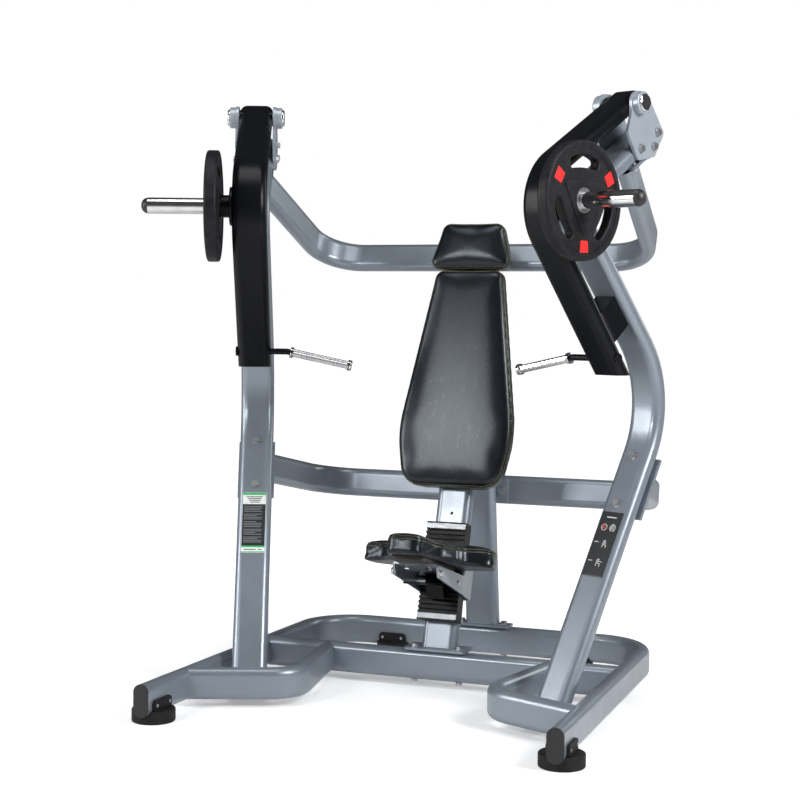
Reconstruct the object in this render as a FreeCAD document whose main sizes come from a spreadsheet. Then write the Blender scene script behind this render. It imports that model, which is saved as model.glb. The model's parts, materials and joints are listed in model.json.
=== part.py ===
import FreeCAD, Part
import math
import os

import Sketcher
from FreeCAD import Placement, Rotation, Vector

# A plate-loaded chest press. Millimetres, +Z up, the user faces -Y and +X is on the viewer's right
# from the front. The origin is on the floor, under the middle of the machine.
# Each arm and upright lies in a vertical plane, turned by "splay" from the machine's centre plane.
# In such a plane, "back" runs along the plane away from the front, and "out" is normal to it,
# away from the middle. The arm's pivot is at back = 0.

SIZES = {
    # steel tube sections
    "rail_depth": 50,
    "rail_height": 100,
    "rail_corner": 24,
    "bent_tube_depth": 55,
    "arm_width": 108,
    "upright_width": 112,
    "bent_tube_corner": 25,
    "tube_wall": 3,
    # base frame
    "rail_level": 74,
    "rail_front_half_width": 637,
    "rail_back_half_width": 608,
    "rail_front": 677,
    "rail_back": 619,
    "rail_bend": 185,
    "cross_tube_back": 139,
    "foot_radius": 66,
    "foot_height": 40,
    "foot_front": 606,
    "foot_rear_half_spacing": 335,
    # arm planes
    "splay": 23.1,
    "pivot_half_width": 615.5,
    "pivot_back": 33.5,
    "pivot_height": 1868,
    # pressing arms
    "arm_elbow_back": -456,
    "arm_elbow_height": 1590,
    "arm_elbow_bend": 157,
    "arm_foot_height": 1048,
    "axle_radius": 15,
    "hub_radius": 34,
    "bearing_width": 16,
    "running_gap": 0.05,
    "sleeve_back": -338,
    "sleeve_height": 1557,
    "sleeve_radius": 25,
    "sleeve_end": 316,
    "collar_end": 93,
    "handle_back": -72,
    "handle_height": 1100,
    "handle_radius": 10,
    "grip_radius": 13.5,
    # uprights
    "upright_waist_back": 231,
    "upright_waist_height": 984,
    "upright_waist_bend": 302,
    "upright_crown_back": -254,
    "upright_crown_height": 1548,
    "upright_crown_bend": 80,
    "bracket_thickness": 10,
    "boss_end": 86,
    # crossbars
    "top_bar_back": 592,
    "top_bar_height": 1424,
    "top_bar_bend": 150,
    "low_bar_back": 620,
    "low_bar_height": 610,
    "low_bar_bend": 150,
    # seat post, rear column and rack
    "post_width": 122,
    "post_depth": 50,
    "post_corner": 24,
    "post_foot_back": 164,
    "post_tilt": 17,
    "post_length": 1376,
    "column_foot_back": 619,
    "column_tilt": 7.4,
    "column_length": 1034,
    "rack_width": 136,
    "rack_length": 327,
    "rack_depth": 42,
    "rib_pitch": 15.5,
    # weight plates
    "plate_radius": 172.5,
    "plate_thickness": 37.5,
    "plate_bore_gap": 0.08,
    # pads
    "board_thickness": 12,
    "back_pad_thickness": 62,
    "back_pad_tilt": 14.2,
    "head_pad_thickness": 60,
    "seat_pad_thickness": 64,
    "seat_tilt": 16,
    "fastener_radius": 6,
}

doc = FreeCAD.newDocument("chest_press")
sheet = doc.addObject("Spreadsheet::Sheet", "Sizes")
for row, (alias, amount) in enumerate(SIZES.items(), start=1):
    sheet.set("A%d" % row, alias)
    sheet.set("B%d" % row, str(amount))
    sheet.setAlias("B%d" % row, alias)
doc.recompute()

nodes = []
SIDES = {"left": -1, "right": 1}


def size(alias):
    return float(sheet.get(alias))


def number(value):
    """The amount that a number, or a formula over the sheet, stands for."""
    if isinstance(value, str):
        amount = sheet.evalExpression(value.replace("Sizes.", ""))
        return float(getattr(amount, "Value", amount))
    return float(value)


def bind(owner, path, value):
    """Set a property to a number, or tie it to the sheet by a formula."""
    if isinstance(value, str):
        owner.setExpression(path, value)
    else:
        setattr(owner, path, value)


def negate(value):
    return "-(%s)" % value if isinstance(value, str) else -value


# ---- frames of reference -------------------------------------------------------------------------

def arm_frame(side):
    """X runs back along the arm's plane, Y is up, and Z is out on the right and in on the left."""
    splay = math.radians(size("splay"))
    back = Vector(side * math.sin(splay), math.cos(splay), 0)
    up = Vector(0, 0, 1)
    foot = Vector(side * size("pivot_half_width"), size("pivot_back"), 0)
    return Placement(foot, Rotation(back, up, back.cross(up), "XYZ"))


def arm_point(side, back, out, height):
    return arm_frame(side).multVec(Vector(back, height, side * out))


def outward(side):
    return arm_point(side, 0, 1, 0) - arm_point(side, 0, 0, 0)


def middle_frame():
    """X runs back from the seat post's foot in the centre plane, Y is up, Z is to the viewer's right."""
    foot = Vector(0, size("post_foot_back"), 0)
    return Placement(foot, Rotation(Vector(0, 1, 0), Vector(0, 0, 1), Vector(1, 0, 0), "XYZ"))


def middle_point(across, back, height):
    return middle_frame().multVec(Vector(back, height, across))


def leaning_frame(back, height, tilt):
    """X is across the machine, Y climbs along a face that leans back by tilt, Z is out of its front."""
    lean = math.radians(tilt)
    across = Vector(1, 0, 0)
    along = Vector(0, math.sin(lean), math.cos(lean))
    return Placement(Vector(0, back, height), Rotation(across, along, across.cross(along), "XYZ"))


def axis_frame(place, direction):
    """Z runs from place along direction."""
    return Placement(place, Rotation(Vector(0, 0, 1), direction))


# ---- sketches and solids -------------------------------------------------------------------------

def origin_plane(body, role):
    return next(item for item in body.Origin.OriginFeatures if item.Role == role)


def new_sketch(body, name, role="XY_Plane", offset=0, placement=None):
    sketch = body.newObject("Sketcher::SketchObject", name)
    sketch.AttachmentSupport = [(origin_plane(body, role), "")]
    sketch.MapMode = "FlatFace"
    if placement:
        sketch.AttachmentOffset = placement
    elif isinstance(offset, str):
        sketch.setExpression("AttachmentOffset.Base.z", offset)
    else:
        sketch.AttachmentOffset = Placement(Vector(0, 0, offset), Rotation())
    return sketch


def constrain(sketch, value, *terms):
    index = sketch.addConstraint(Sketcher.Constraint(*terms, number(value)))
    if isinstance(value, str):
        sketch.setExpression("Constraints[%d]" % index, value)


def draw(sketch, points, closed=True):
    """Straight runs from point to point. A point with a third value is rounded to that radius.

    Every coordinate and radius is a constraint, tied to the sheet where it is a formula.
    """
    spots = [Vector(number(point[0]), number(point[1]), 0) for point in points]
    radii = [number(point[2]) if len(point) > 2 else 0.0 for point in points]
    count = len(points)
    starts = list(spots)
    ends = list(spots)
    arcs = {}
    for index in range(count):
        if not radii[index]:
            continue
        before = (spots[index - 1] - spots[index]).normalize()
        after = (spots[(index + 1) % count] - spots[index]).normalize()
        half = before.getAngle(after) / 2
        reach = radii[index] / math.tan(half)
        ends[index] = spots[index] + before * reach
        starts[index] = spots[index] + after * reach
        centre = spots[index] + (before + after).normalize() * (radii[index] / math.sin(half))
        left_turn = (before * -1).cross(after).z > 0
        first, last = (ends[index], starts[index]) if left_turn else (starts[index], ends[index])
        angles = [math.atan2(spot.y - centre.y, spot.x - centre.x) for spot in (first, last)]
        if angles[1] < angles[0]:
            angles[1] += 2 * math.pi
        circle = Part.Circle(centre, Vector(0, 0, 1), radii[index])
        arcs[index] = (Part.ArcOfCircle(circle, angles[0], angles[1]), left_turn)
    runs = count if closed else count - 1
    lines = [sketch.addGeometry(Part.LineSegment(starts[i], ends[(i + 1) % count])) for i in range(runs)]
    for index, point in enumerate(points):
        line_in = lines[index - 1] if closed or index > 0 else None
        line_out = lines[index] if index < runs else None
        if index in arcs:
            arc, left_turn = arcs[index]
            bend = sketch.addGeometry(arc)
            corner = sketch.addGeometry(Part.Point(spots[index]), True)
            sketch.addConstraint(Sketcher.Constraint("Tangent", line_in, 2, bend, 1 if left_turn else 2))
            sketch.addConstraint(Sketcher.Constraint("Tangent", bend, 2 if left_turn else 1, line_out, 1))
            sketch.addConstraint(Sketcher.Constraint("PointOnObject", corner, 1, line_in))
            sketch.addConstraint(Sketcher.Constraint("PointOnObject", corner, 1, line_out))
            constrain(sketch, point[2], "Radius", bend)
            fixed = (corner, 1)
        elif line_in is None:
            fixed = (line_out, 1)
        else:
            fixed = (line_in, 2)
            if line_out is not None:
                sketch.addConstraint(Sketcher.Constraint("Coincident", line_in, 2, line_out, 1))
        constrain(sketch, point[0], "DistanceX", *fixed)
        constrain(sketch, point[1], "DistanceY", *fixed)


def circle(sketch, across, up, radius):
    centre = Vector(number(across), number(up), 0)
    ring = sketch.addGeometry(Part.Circle(centre, Vector(0, 0, 1), number(radius)))
    constrain(sketch, radius, "Radius", ring)
    constrain(sketch, across, "DistanceX", ring, 3)
    constrain(sketch, up, "DistanceY", ring, 3)


def box_outline(low_x, low_y, high_x, high_y, radius=None):
    corners = [(low_x, low_y), (high_x, low_y), (high_x, high_y), (low_x, high_y)]
    return [corner + (radius,) if radius else corner for corner in corners]


def new_body(label, frame):
    body = doc.addObject("PartDesign::Body", label)
    body.Label = label
    body.Placement = frame
    return body


def add_pad(body, outline, low, high, holes=()):
    """A slab of the outline between two levels of the body's Z, with round holes (x, y, radius)."""
    sketch = new_sketch(body, "outline", offset=low)
    draw(sketch, outline)
    for hole in holes:
        circle(sketch, *hole)
    pad = body.newObject("PartDesign::Pad", "slab")
    pad.Profile = sketch
    both_numbers = not isinstance(low, str) and not isinstance(high, str)
    bind(pad, "Length", high - low if both_numbers else "(%s) - (%s)" % (high, low))
    return pad


def slab(label, frame, outline, low, high, holes=()):
    body = new_body(label, frame)
    add_pad(body, outline, low, high, holes)
    return body


def side_slab(label, side, outline, near, far, holes=()):
    """A plate in an arm's plane, between two distances out from the plane's middle."""
    low, high = (near, far) if side > 0 else (negate(far), negate(near))
    return slab(label, arm_frame(side), outline, low, high, holes)


def turned(label, frame, outline):
    """A solid of revolution about the frame's Z, from an outline of (radius, height) points."""
    body = new_body(label, frame)
    sketch = new_sketch(body, "profile", role="XZ_Plane")
    draw(sketch, outline)
    turn = body.newObject("PartDesign::Revolution", "turned")
    turn.Profile = sketch
    turn.ReferenceAxis = (sketch, ["V_Axis"])
    turn.Angle = 360
    return body


def section_outline(depth, width, corner):
    half_depth = "(%s) / 2" % depth
    half_width = "(%s) / 2" % width
    return box_outline(negate(half_width), negate(half_depth), half_width, half_depth, corner)


RAIL = ("Sizes.rail_depth", "Sizes.rail_height", "Sizes.rail_corner")
ARM = ("Sizes.bent_tube_depth", "Sizes.arm_width", "Sizes.bent_tube_corner")
UPRIGHT = ("Sizes.bent_tube_depth", "Sizes.upright_width", "Sizes.bent_tube_corner")
POST_ACROSS = ("Sizes.post_width", "Sizes.post_depth", "Sizes.post_corner")


def tube(label, frame, path, section, hollow=True):
    """A flat-oval tube, bent in the frame's XY plane; its wider side is along the frame's Z."""
    body = new_body(label, frame)
    spine = new_sketch(body, "path")
    draw(spine, path, closed=False)
    start = Vector(number(path[0][0]), number(path[0][1]), 0)
    ahead = (Vector(number(path[1][0]), number(path[1][1]), 0) - start).normalize()
    up = Vector(0, 0, 1)
    across = Placement(start, Rotation(up, ahead.cross(up), ahead, "ZXY"))
    profile = new_sketch(body, "section", placement=across)
    if isinstance(section, str):
        circle(profile, 0, 0, section)
        hollow = False
    else:
        depth, width, corner = section
        draw(profile, section_outline(depth, width, corner))
    if hollow:
        wall = "2 * Sizes.tube_wall"
        inner = ["(%s) - %s" % (amount, wall) for amount in (depth, width)]
        draw(profile, section_outline(inner[0], inner[1], "%s - Sizes.tube_wall" % corner))
    pipe = body.newObject("PartDesign::AdditivePipe", "tube")
    pipe.Profile = profile
    pipe.Spine = spine
    return body


def boolean(kind, label, base, tool):
    result = doc.addObject("Part::" + kind, label)
    if kind == "Cut":
        result.Base = base
        result.Tool = tool
    else:
        result.Shapes = [base, tool]
    result.Label = label
    return result


def shape(label, solids):
    """A group of separate solids that are one kind of piece."""
    group = doc.addObject("Part::Feature", label)
    group.Shape = Part.makeCompound(solids) if len(solids) > 1 else solids[0]
    group.Label = label
    return group


def node(label, blank, *tools):
    """Keep a piece under its label, less the space of the pieces that it is fitted round."""
    for number_of_cut, tool in enumerate(tools):
        blank.Label = "%s_blank_%d" % (label, number_of_cut)
        blank = boolean("Cut", label, blank, tool)
    blank.Label = label
    nodes.append(blank)
    return blank


def node_group(label, blanks, *tools):
    """Several like pieces kept as one node of separate solids."""
    doc.recompute()
    solids = []
    for blank in blanks:
        rest = blank.Shape
        for tool in tools:
            rest = rest.cut(tool.Shape)
        solids.extend(rest.Solids)
    return node(label, shape(label, solids))


def rod(place, direction, radius, length):
    return Part.makeCylinder(radius, length, place, direction)


def hexagon(place, direction, radius, height):
    """A hexagonal prism from place along direction, with its corners at radius."""
    corner = Vector(radius, 0, 0)
    ring = [Rotation(Vector(0, 0, 1), 60 * turn).multVec(corner) for turn in range(7)]
    prism = Part.Face(Part.makePolygon(ring)).extrude(Vector(0, 0, height))
    prism.Placement = axis_frame(place, direction)
    return prism


HEAD_CORNER = 1.9
HEAD_HEIGHT = 1.3
NUT_HEIGHT = 1.4
TAIL_LENGTH = 1.6
WASHER = 2


def bolt(place, direction, grip, nut=True):
    """A hex bolt whose washer stands on place and whose shank runs for grip against direction."""
    radius = size("fastener_radius")
    solid = rod(place, direction, 2.3 * radius, WASHER)
    head = hexagon(place + direction * WASHER, direction, HEAD_CORNER * radius, HEAD_HEIGHT * radius)
    solid = solid.fuse([head, rod(place, direction * -1, radius, grip)])
    if nut:
        far_end = place - direction * grip
        tail = rod(far_end, direction * -1, radius, TAIL_LENGTH * radius)
        nut_solid = hexagon(far_end, direction * -1, HEAD_CORNER * radius, NUT_HEIGHT * radius)
        solid = solid.fuse([tail, nut_solid])
    return solid.removeSplitter()


# ---- base frame ----------------------------------------------------------------------------------

def both(label, *arguments):
    """The hollow tube and the solid bar of its outer shape, to which its neighbours are fitted."""
    return tube(label, *arguments), tube(label + "_outer", *arguments, hollow=False)


def block(label, low, high):
    box = doc.addObject("Part::Box", label)
    box.Placement.Base = Vector(*low)
    box.Length, box.Width, box.Height = [top - bottom for bottom, top in zip(low, high)]
    return box


base_frame = Placement(Vector(0, 0, size("rail_level")), Rotation())
rail_path = [
    ("Sizes.rail_front_half_width", "-Sizes.rail_front"),
    ("Sizes.rail_back_half_width", "Sizes.rail_back", "Sizes.rail_bend"),
    ("-Sizes.rail_back_half_width", "Sizes.rail_back", "Sizes.rail_bend"),
    ("-Sizes.rail_front_half_width", "-Sizes.rail_front"),
]
base_tube, base_outer = both("base_frame_tube", base_frame, rail_path, RAIL)
cross_path = [(-611, "Sizes.cross_tube_back"), (611, "Sizes.cross_tube_back")]
cross_tube, cross_outer = both("base_cross_tube", base_frame, cross_path, RAIL)

loops = {}
for name, side in SIDES.items():
    loop_path = [(626 * side, -416.5), (308 * side, -281, 110), (389.5 * side, 137)]
    loops[name] = both("front_loop_" + name, base_frame, loop_path, RAIL)
    node("front_loop_" + name, loops[name][0], base_outer, cross_outer)

CAP_THICKNESS = 4
RAIL_FRONT = (size("rail_front_half_width"), -size("rail_front"))
RAIL_LEAN = (RAIL_FRONT[0] - size("rail_back_half_width")) / (size("rail_back") - RAIL_FRONT[1])
end_caps = []
for name, side in SIDES.items():
    cap_tip = (RAIL_FRONT[0] + CAP_THICKNESS * RAIL_LEAN, RAIL_FRONT[1] - CAP_THICKNESS)
    cap_path = [(side * across, back) for across, back in (RAIL_FRONT, cap_tip)]
    end_caps.append(tube("rail_cap_" + name, base_frame, cap_path, RAIL, hollow=False))


TAB_HEIGHT = 72
TAB_FACE = 34
TAB_HALF_WIDTH = 50


def foot(across, back, turn):
    """A round rubber foot with a tab up each side of the tube that it is pushed on to."""
    radius = size("foot_radius")
    height = size("foot_height")
    disc = Part.makeCylinder(radius, height)
    disc = disc.makeFillet(5, [edge for edge in disc.Edges if edge.Curve.TypeId == "Part::GeomCircle"])
    right_half = [(TAB_HALF_WIDTH, 0), (TAB_HALF_WIDTH, TAB_HEIGHT - 8), (TAB_HALF_WIDTH - 8, TAB_HEIGHT)]
    outline = right_half + [(-along, up) for along, up in reversed(right_half)] + right_half[:1]
    side_face = Part.Face(Part.makePolygon([Vector(along, -TAB_FACE, up) for along, up in outline]))
    rubber = disc.fuse(side_face.extrude(Vector(0, 2 * TAB_FACE, 0)))
    rubber.Placement = Placement(Vector(across, back, 0), Rotation(Vector(0, 0, 1), turn))
    return rubber


foot_places = []
for side in SIDES.values():
    rail_turn = math.degrees(math.atan(RAIL_LEAN)) * side
    rail_across = RAIL_FRONT[0] - RAIL_LEAN * (size("rail_front") - size("foot_front"))
    foot_places.append((side * rail_across, -size("foot_front"), 90 + rail_turn))
    foot_places.append((side * size("foot_rear_half_spacing"), size("rail_back"), 0))
screws = []
for across, back, turn in foot_places:
    turned_by = Rotation(Vector(0, 0, 1), turn)
    for along in (-36, 36):
        for face in (-1, 1):
            spot = Vector(across, back, 56) + turned_by.multVec(Vector(along, face * TAB_FACE, 0))
            facing = turned_by.multVec(Vector(0, face, 0))
            screws.append(rod(spot, facing, 5, 2.5).fuse(rod(spot, facing * -1, 2.5, 14)).removeSplitter())
foot_screws = node("foot_screws", shape("foot_screws", screws))
feet = [shape("foot_%d" % index, [foot(*place)]) for index, place in enumerate(foot_places)]
node_group("rubber_feet", feet, base_outer, foot_screws)


# ---- the lines of the bent tubes, in an arm's plane ----------------------------------------------

def beside(start, end, along, aside):
    """The point a distance along the line from start to end, and to the left of it."""
    start = Vector(start[0], start[1], 0)
    ahead = (Vector(end[0], end[1], 0) - start).normalize()
    left = Vector(-ahead.y, ahead.x, 0)
    spot = start + ahead * along + left * aside
    return spot.x, spot.y


def strip(line, near, far, low, high):
    """A strip beside a line: between two distances along it and two to its left."""
    corners = [(near, low), (far, low), (far, high), (near, high)]
    return [beside(*line, *corner) for corner in corners]


UPRIGHT_FOOT = (-330.5, 0)
WAIST = (size("upright_waist_back"), size("upright_waist_height"))
CROWN = (size("upright_crown_back"), size("upright_crown_height"))
UPRIGHT_TOP = (120, 1791)
ARM_TOP = (27.8, 1885.2)
ELBOW = (size("arm_elbow_back"), size("arm_elbow_height"))
ARM_FOOT = (16, 1000)
LOWER = (UPRIGHT_FOOT, WAIST)
UPPER = (CROWN, UPRIGHT_TOP)
HALF_TUBE = size("bent_tube_depth") / 2
HALF_UPRIGHT = size("upright_width") / 2
HALF_ARM = size("arm_width") / 2
PLATE_FACE = HALF_UPRIGHT + size("bracket_thickness")

upright_path = [
    UPRIGHT_FOOT,
    ("Sizes.upright_waist_back", "Sizes.upright_waist_height", "Sizes.upright_waist_bend"),
    ("Sizes.upright_crown_back", "Sizes.upright_crown_height", "Sizes.upright_crown_bend"),
    UPRIGHT_TOP,
]
PIVOT = (0, size("pivot_height"))
BRACKET_OUTLINE = [
    (-37, 1905, 36), (37, 1905, 36), (130, 1789, 14), (84, 1714, 12),
    (0, 1696, 14), (-54, 1778, 12), (-37, 1830, 20),
]
BRACKET_BOLTS = [(12, 1733), (78, 1745), (95, 1789)]
FACE_BOLTS = [735, 897]
FOOT_PLATE = (49, 59)
FLANGE = 10

# ---- bolts of the upper frame --------------------------------------------------------------------
frame_bolts = []
for side in SIDES.values():
    out = outward(side)
    for back, height in BRACKET_BOLTS:
        frame_bolts.append(bolt(arm_point(side, back, PLATE_FACE, height), out, 2 * PLATE_FACE))
    for along in FACE_BOLTS:
        front = beside(*LOWER, along, HALF_TUBE)
        behind = beside(*LOWER, along, -HALF_TUBE)
        head = arm_point(side, front[0], 0, front[1])
        facing = (head - arm_point(side, behind[0], 0, behind[1])).normalize()
        frame_bolts.append(bolt(head, facing, 2 * HALF_TUBE + FLANGE, nut=False))
    for along in (300, 370):
        for across in (-40, 40):
            below = beside(*UPPER, along, -HALF_TUBE - FLANGE)
            above = beside(*UPPER, along, HALF_TUBE)
            head = arm_point(side, below[0], across, below[1])
            facing = (head - arm_point(side, above[0], across, above[1])).normalize()
            frame_bolts.append(bolt(head, facing, FLANGE + 8, nut=False))
frame_bolts = node("frame_bolts", shape("frame_bolts", frame_bolts))

# ---- uprights, their foot plates and the pivot brackets ------------------------------------------
below_feet = block("below_foot_plates", (-900, -700, -300), (900, 700, FOOT_PLATE[1]))
foot_plates = []
flanges = []
trims = {}
uprights = {}
axles = []
axle_caps = []
bosses = []
brackets = []
for name, side in SIDES.items():
    frame = arm_frame(side)
    plate_outline = box_outline(-396, FOOT_PLATE[0], -252, FOOT_PLATE[1])
    plate = side_slab("upright_foot_plate_" + name, side, plate_outline, -60, 60)
    foot_plates.append(boolean("Cut", "foot_plate_" + name, plate, loops[name][1]))
    hollow, uprights[name] = both("upright_" + name, frame, upright_path, UPRIGHT)
    node("upright_" + name, hollow, below_feet, frame_bolts)
    low_strip = strip(LOWER, 712, 917, -HALF_TUBE - FLANGE, -HALF_TUBE)
    top_strip = strip(UPPER, 275, 395, -HALF_TUBE - FLANGE, -HALF_TUBE)
    flanges.append(side_slab("low_flange_" + name, side, low_strip, -61, 61))
    flanges.append(side_slab("top_flange_" + name, side, top_strip, -56, 56))
    low_space = strip(LOWER, 500, 1200, -HALF_TUBE - FLANGE, 200)
    top_space = strip(UPPER, 0, 700, -HALF_TUBE - FLANGE, 200)
    trims[name] = (
        side_slab("low_space_" + name, side, low_space, -150, 150),
        side_slab("top_space_" + name, side, top_space, -150, 150),
    )
    pivot_hole = [(*PIVOT, "Sizes.axle_radius")]
    axis = axis_frame(arm_point(side, 0, 0, PIVOT[1]), outward(side))
    for face in (-1, 1):
        low, high = sorted((face * HALF_UPRIGHT, face * PLATE_FACE))
        bracket_name = "bracket_%s_%d" % (name, face)
        brackets.append(side_slab(bracket_name, side, BRACKET_OUTLINE, low, high, pivot_hole))
        ring = [
            ("Sizes.axle_radius", face * PLATE_FACE), ("Sizes.hub_radius", face * PLATE_FACE),
            ("Sizes.hub_radius", face * size("boss_end"), 3), ("Sizes.axle_radius", face * size("boss_end")),
        ]
        bosses.append(turned("boss_%s_%d" % (name, face), axis, ring))
        cap = [
            (0, face * size("boss_end")), (27, face * size("boss_end")),
            (27, face * 93, 5), (0, face * 94),
        ]
        axle_caps.append(turned("axle_cap_%s_%d" % (name, face), axis, cap))
    axle = box_outline(0, "-Sizes.boss_end", "Sizes.axle_radius", "Sizes.boss_end")
    axles.append(turned("axle_" + name, axis, axle))
node_group("upright_foot_plates", foot_plates)
node_group("pivot_brackets", brackets, frame_bolts)
node_group("pivot_bosses", bosses)
node_group("arm_axles", axles)
node_group("axle_caps", axle_caps)
node_group("crossbar_flanges", flanges, frame_bolts)

# ---- crossbars -----------------------------------------------------------------------------------


def crossbar_frame(back, height, fall):
    """X across, Y back and down by fall, Z up: the plane in which a crossbar is bent."""
    angle = math.radians(fall)
    across = Vector(1, 0, 0)
    behind = Vector(0, math.cos(angle), -math.sin(angle))
    return Placement(Vector(0, back, height), Rotation(across, behind, across.cross(behind), "XYZ"))


def crossbar_path(front_half_width, back_half_width, length, bend):
    return [
        (front_half_width, -length), (back_half_width, 0, bend),
        (-back_half_width, 0, bend), (-front_half_width, -length),
    ]


top_frame = crossbar_frame(size("top_bar_back"), size("top_bar_height"), 25.9)
top_path = crossbar_path(633, 601, 660, "Sizes.top_bar_bend")
top_bar, top_outer = both("top_crossbar", top_frame, top_path, RAIL)
node("top_crossbar", top_bar, trims["left"][1], trims["right"][1], frame_bolts)
low_frame = crossbar_frame(size("low_bar_back"), size("low_bar_height"), 11.2)
low_path = crossbar_path(666, 615, 560, "Sizes.low_bar_bend")
low_bar, low_outer = both("lower_crossbar", low_frame, low_path, RAIL)

# ---- seat post and rear column -------------------------------------------------------------------
RAIL_TOP = size("rail_level") + size("rail_height") / 2
POST_FLANGE = 8
POST_HOLE = 450
post_frame = leaning_frame(size("post_foot_back"), RAIL_TOP, size("post_tilt"))
column_frame = leaning_frame(size("column_foot_back"), RAIL_TOP, -size("column_tilt"))
post, post_outer = both("seat_post", post_frame, [(0, -20), (0, "Sizes.post_length")], POST_ACROSS)
column_path = [(0, -20), (0, "Sizes.column_length")]
column, column_outer = both("rear_column", column_frame, column_path, POST_ACROSS)
under_flanges = block("under_flanges", (-300, -100, 0), (300, 700, RAIL_TOP + POST_FLANGE))
FLANGE_BOLT = 78
FLANGE_HALF_WIDTH = 106
base_bolts = []
for back in (size("cross_tube_back"), size("rail_back")):
    for across in (-FLANGE_BOLT, FLANGE_BOLT):
        head = Vector(across, back, RAIL_TOP + POST_FLANGE)
        base_bolts.append(bolt(head, Vector(0, 0, 1), size("rail_height") + POST_FLANGE))
BRACKET_FRONT = 576
for across in (-FLANGE_BOLT, FLANGE_BOLT):
    head = Vector(across, BRACKET_FRONT, size("low_bar_height"))
    base_bolts.append(bolt(head, Vector(0, -1, 0), 30, nut=False))
base_bolts = node("base_bolts", shape("base_bolts", base_bolts))
node("base_frame_tube", base_tube, foot_screws, base_bolts)
node("lower_crossbar", low_bar, trims["left"][0], trims["right"][0], base_bolts)
post_front = post_frame.Rotation.multVec(Vector(0, 0, 1))
hole_axis = axis_frame(post_frame.multVec(Vector(0, POST_HOLE, 0)), post_front)
post_hole = turned("post_hole", hole_axis, box_outline(0, 0, 5, 40))
node("seat_post", post, under_flanges, top_outer, post_hole)
node("rear_column", column, under_flanges, post_outer, low_outer)
flange_plates = []
for name, front, back in (("post", 106, 202), ("column", 578, 644)):
    outline = box_outline(-FLANGE_HALF_WIDTH, front, FLANGE_HALF_WIDTH, back, 10)
    flange_plates.append(slab(name + "_flange", Placement(), outline, RAIL_TOP, RAIL_TOP + POST_FLANGE))
node_group("post_flanges", flange_plates, base_bolts)
node("base_cross_tube", cross_tube, base_outer, base_bolts)
bracket_half_width = FLANGE_BOLT + 18
column_bracket = block(
    "column_bracket", (-bracket_half_width, BRACKET_FRONT, 568), (bracket_half_width, 626, 652))
node("column_bracket", column_bracket, column_outer, low_outer, base_bolts)


# ---- stops on the uprights -----------------------------------------------------------------------

CLEARANCE = 0.4
BUMPER = 12
STOP_ROOTS = [(-63, 1290), (9, 1204.5)]


def stop_outline(low, high):
    """Between two gaps from the arm's rear face, down to the upright's front face."""
    arm_start = Vector(*ELBOW, 0)
    ahead = (Vector(*ARM_FOOT, 0) - arm_start).normalize()
    behind = Vector(-ahead.y, ahead.x, 0)
    tops = []
    for root in STOP_ROOTS:
        gap = (Vector(*root, 0) - arm_start).dot(behind) - HALF_TUBE
        tops.append([Vector(*root, 0) - behind * (gap - level) for level in (low, high if high else gap)])
    corners = [tops[0][0], tops[1][0], tops[1][1], tops[0][1]]
    return [(corner.x, corner.y) for corner in corners]


stop_blocks = []
stop_bumpers = []
for name, side in SIDES.items():
    blank = side_slab("stop_block_" + name, side, stop_outline(CLEARANCE + BUMPER, None), -35, 35)
    stop_blocks.append(boolean("Cut", "stop_%s_fitted" % name, blank, uprights[name]))
    bumper = stop_outline(CLEARANCE, CLEARANCE + BUMPER)
    stop_bumpers.append(side_slab("stop_bumper_" + name, side, bumper, -35, 35))
node_group("stop_blocks", stop_blocks)
node_group("stop_bumpers", stop_bumpers)

# ---- placards and end caps -----------------------------------------------------------------------
PLACARD = 1.5
for name, side in SIDES.items():
    placard = strip(LOWER, 490, 704, HALF_TUBE, HALF_TUBE + PLACARD)
    node("placard_" + name, side_slab("placard_" + name, side, placard, -39, 39))

UPRIGHT_END = math.hypot(UPRIGHT_TOP[0] - CROWN[0], UPRIGHT_TOP[1] - CROWN[1]) + CAP_THICKNESS
for name, side in SIDES.items():
    cap_path = [UPRIGHT_TOP, beside(CROWN, UPRIGHT_TOP, UPRIGHT_END, 0)]
    end_caps.append(tube("upright_cap_" + name, arm_frame(side), cap_path, UPRIGHT, hollow=False))
node_group("tube_end_caps", end_caps)

# ---- seat rack -----------------------------------------------------------------------------------
HALF_POST = size("post_depth") / 2
RACK_FACE = HALF_POST + size("rack_depth")
RACK_FOOT = 86
RACK_TOP = RACK_FOOT + size("rack_length")
END_BLOCK = 25
END_GAP = 6
GROOVE_WIDTH = 7
rack = new_body("rack", post_frame)
rack_outline = box_outline("-Sizes.rack_width / 2", RACK_FOOT, "Sizes.rack_width / 2", RACK_TOP)
add_pad(rack, rack_outline, 8, RACK_FACE)
doc.recompute()
groove_sketch = new_sketch(rack, "groove", offset=RACK_FACE)
first_groove = RACK_FOOT + END_BLOCK + END_GAP
HALF_GROOVE = size("rack_width") / 2 + 1
draw(groove_sketch, box_outline(-HALF_GROOVE, first_groove, HALF_GROOVE, first_groove + GROOVE_WIDTH))
groove = rack.newObject("PartDesign::Pocket", "groove_cut")
groove.Profile = groove_sketch
groove.Length = 9
doc.recompute()
GROOVES = int((size("rack_length") - 2 * (END_BLOCK + END_GAP)) / size("rib_pitch")) + 1
grooves = rack.newObject("PartDesign::LinearPattern", "grooves")
grooves.Originals = [groove]
grooves.Direction = (groove_sketch, ["V_Axis"])
grooves.Length = (GROOVES - 1) * size("rib_pitch")
grooves.Occurrences = GROOVES
rack.Tip = grooves
node("seat_rack", rack, post_outer)

# ---- back pad and headrest -----------------------------------------------------------------------
BOARD = size("board_thickness")


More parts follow.
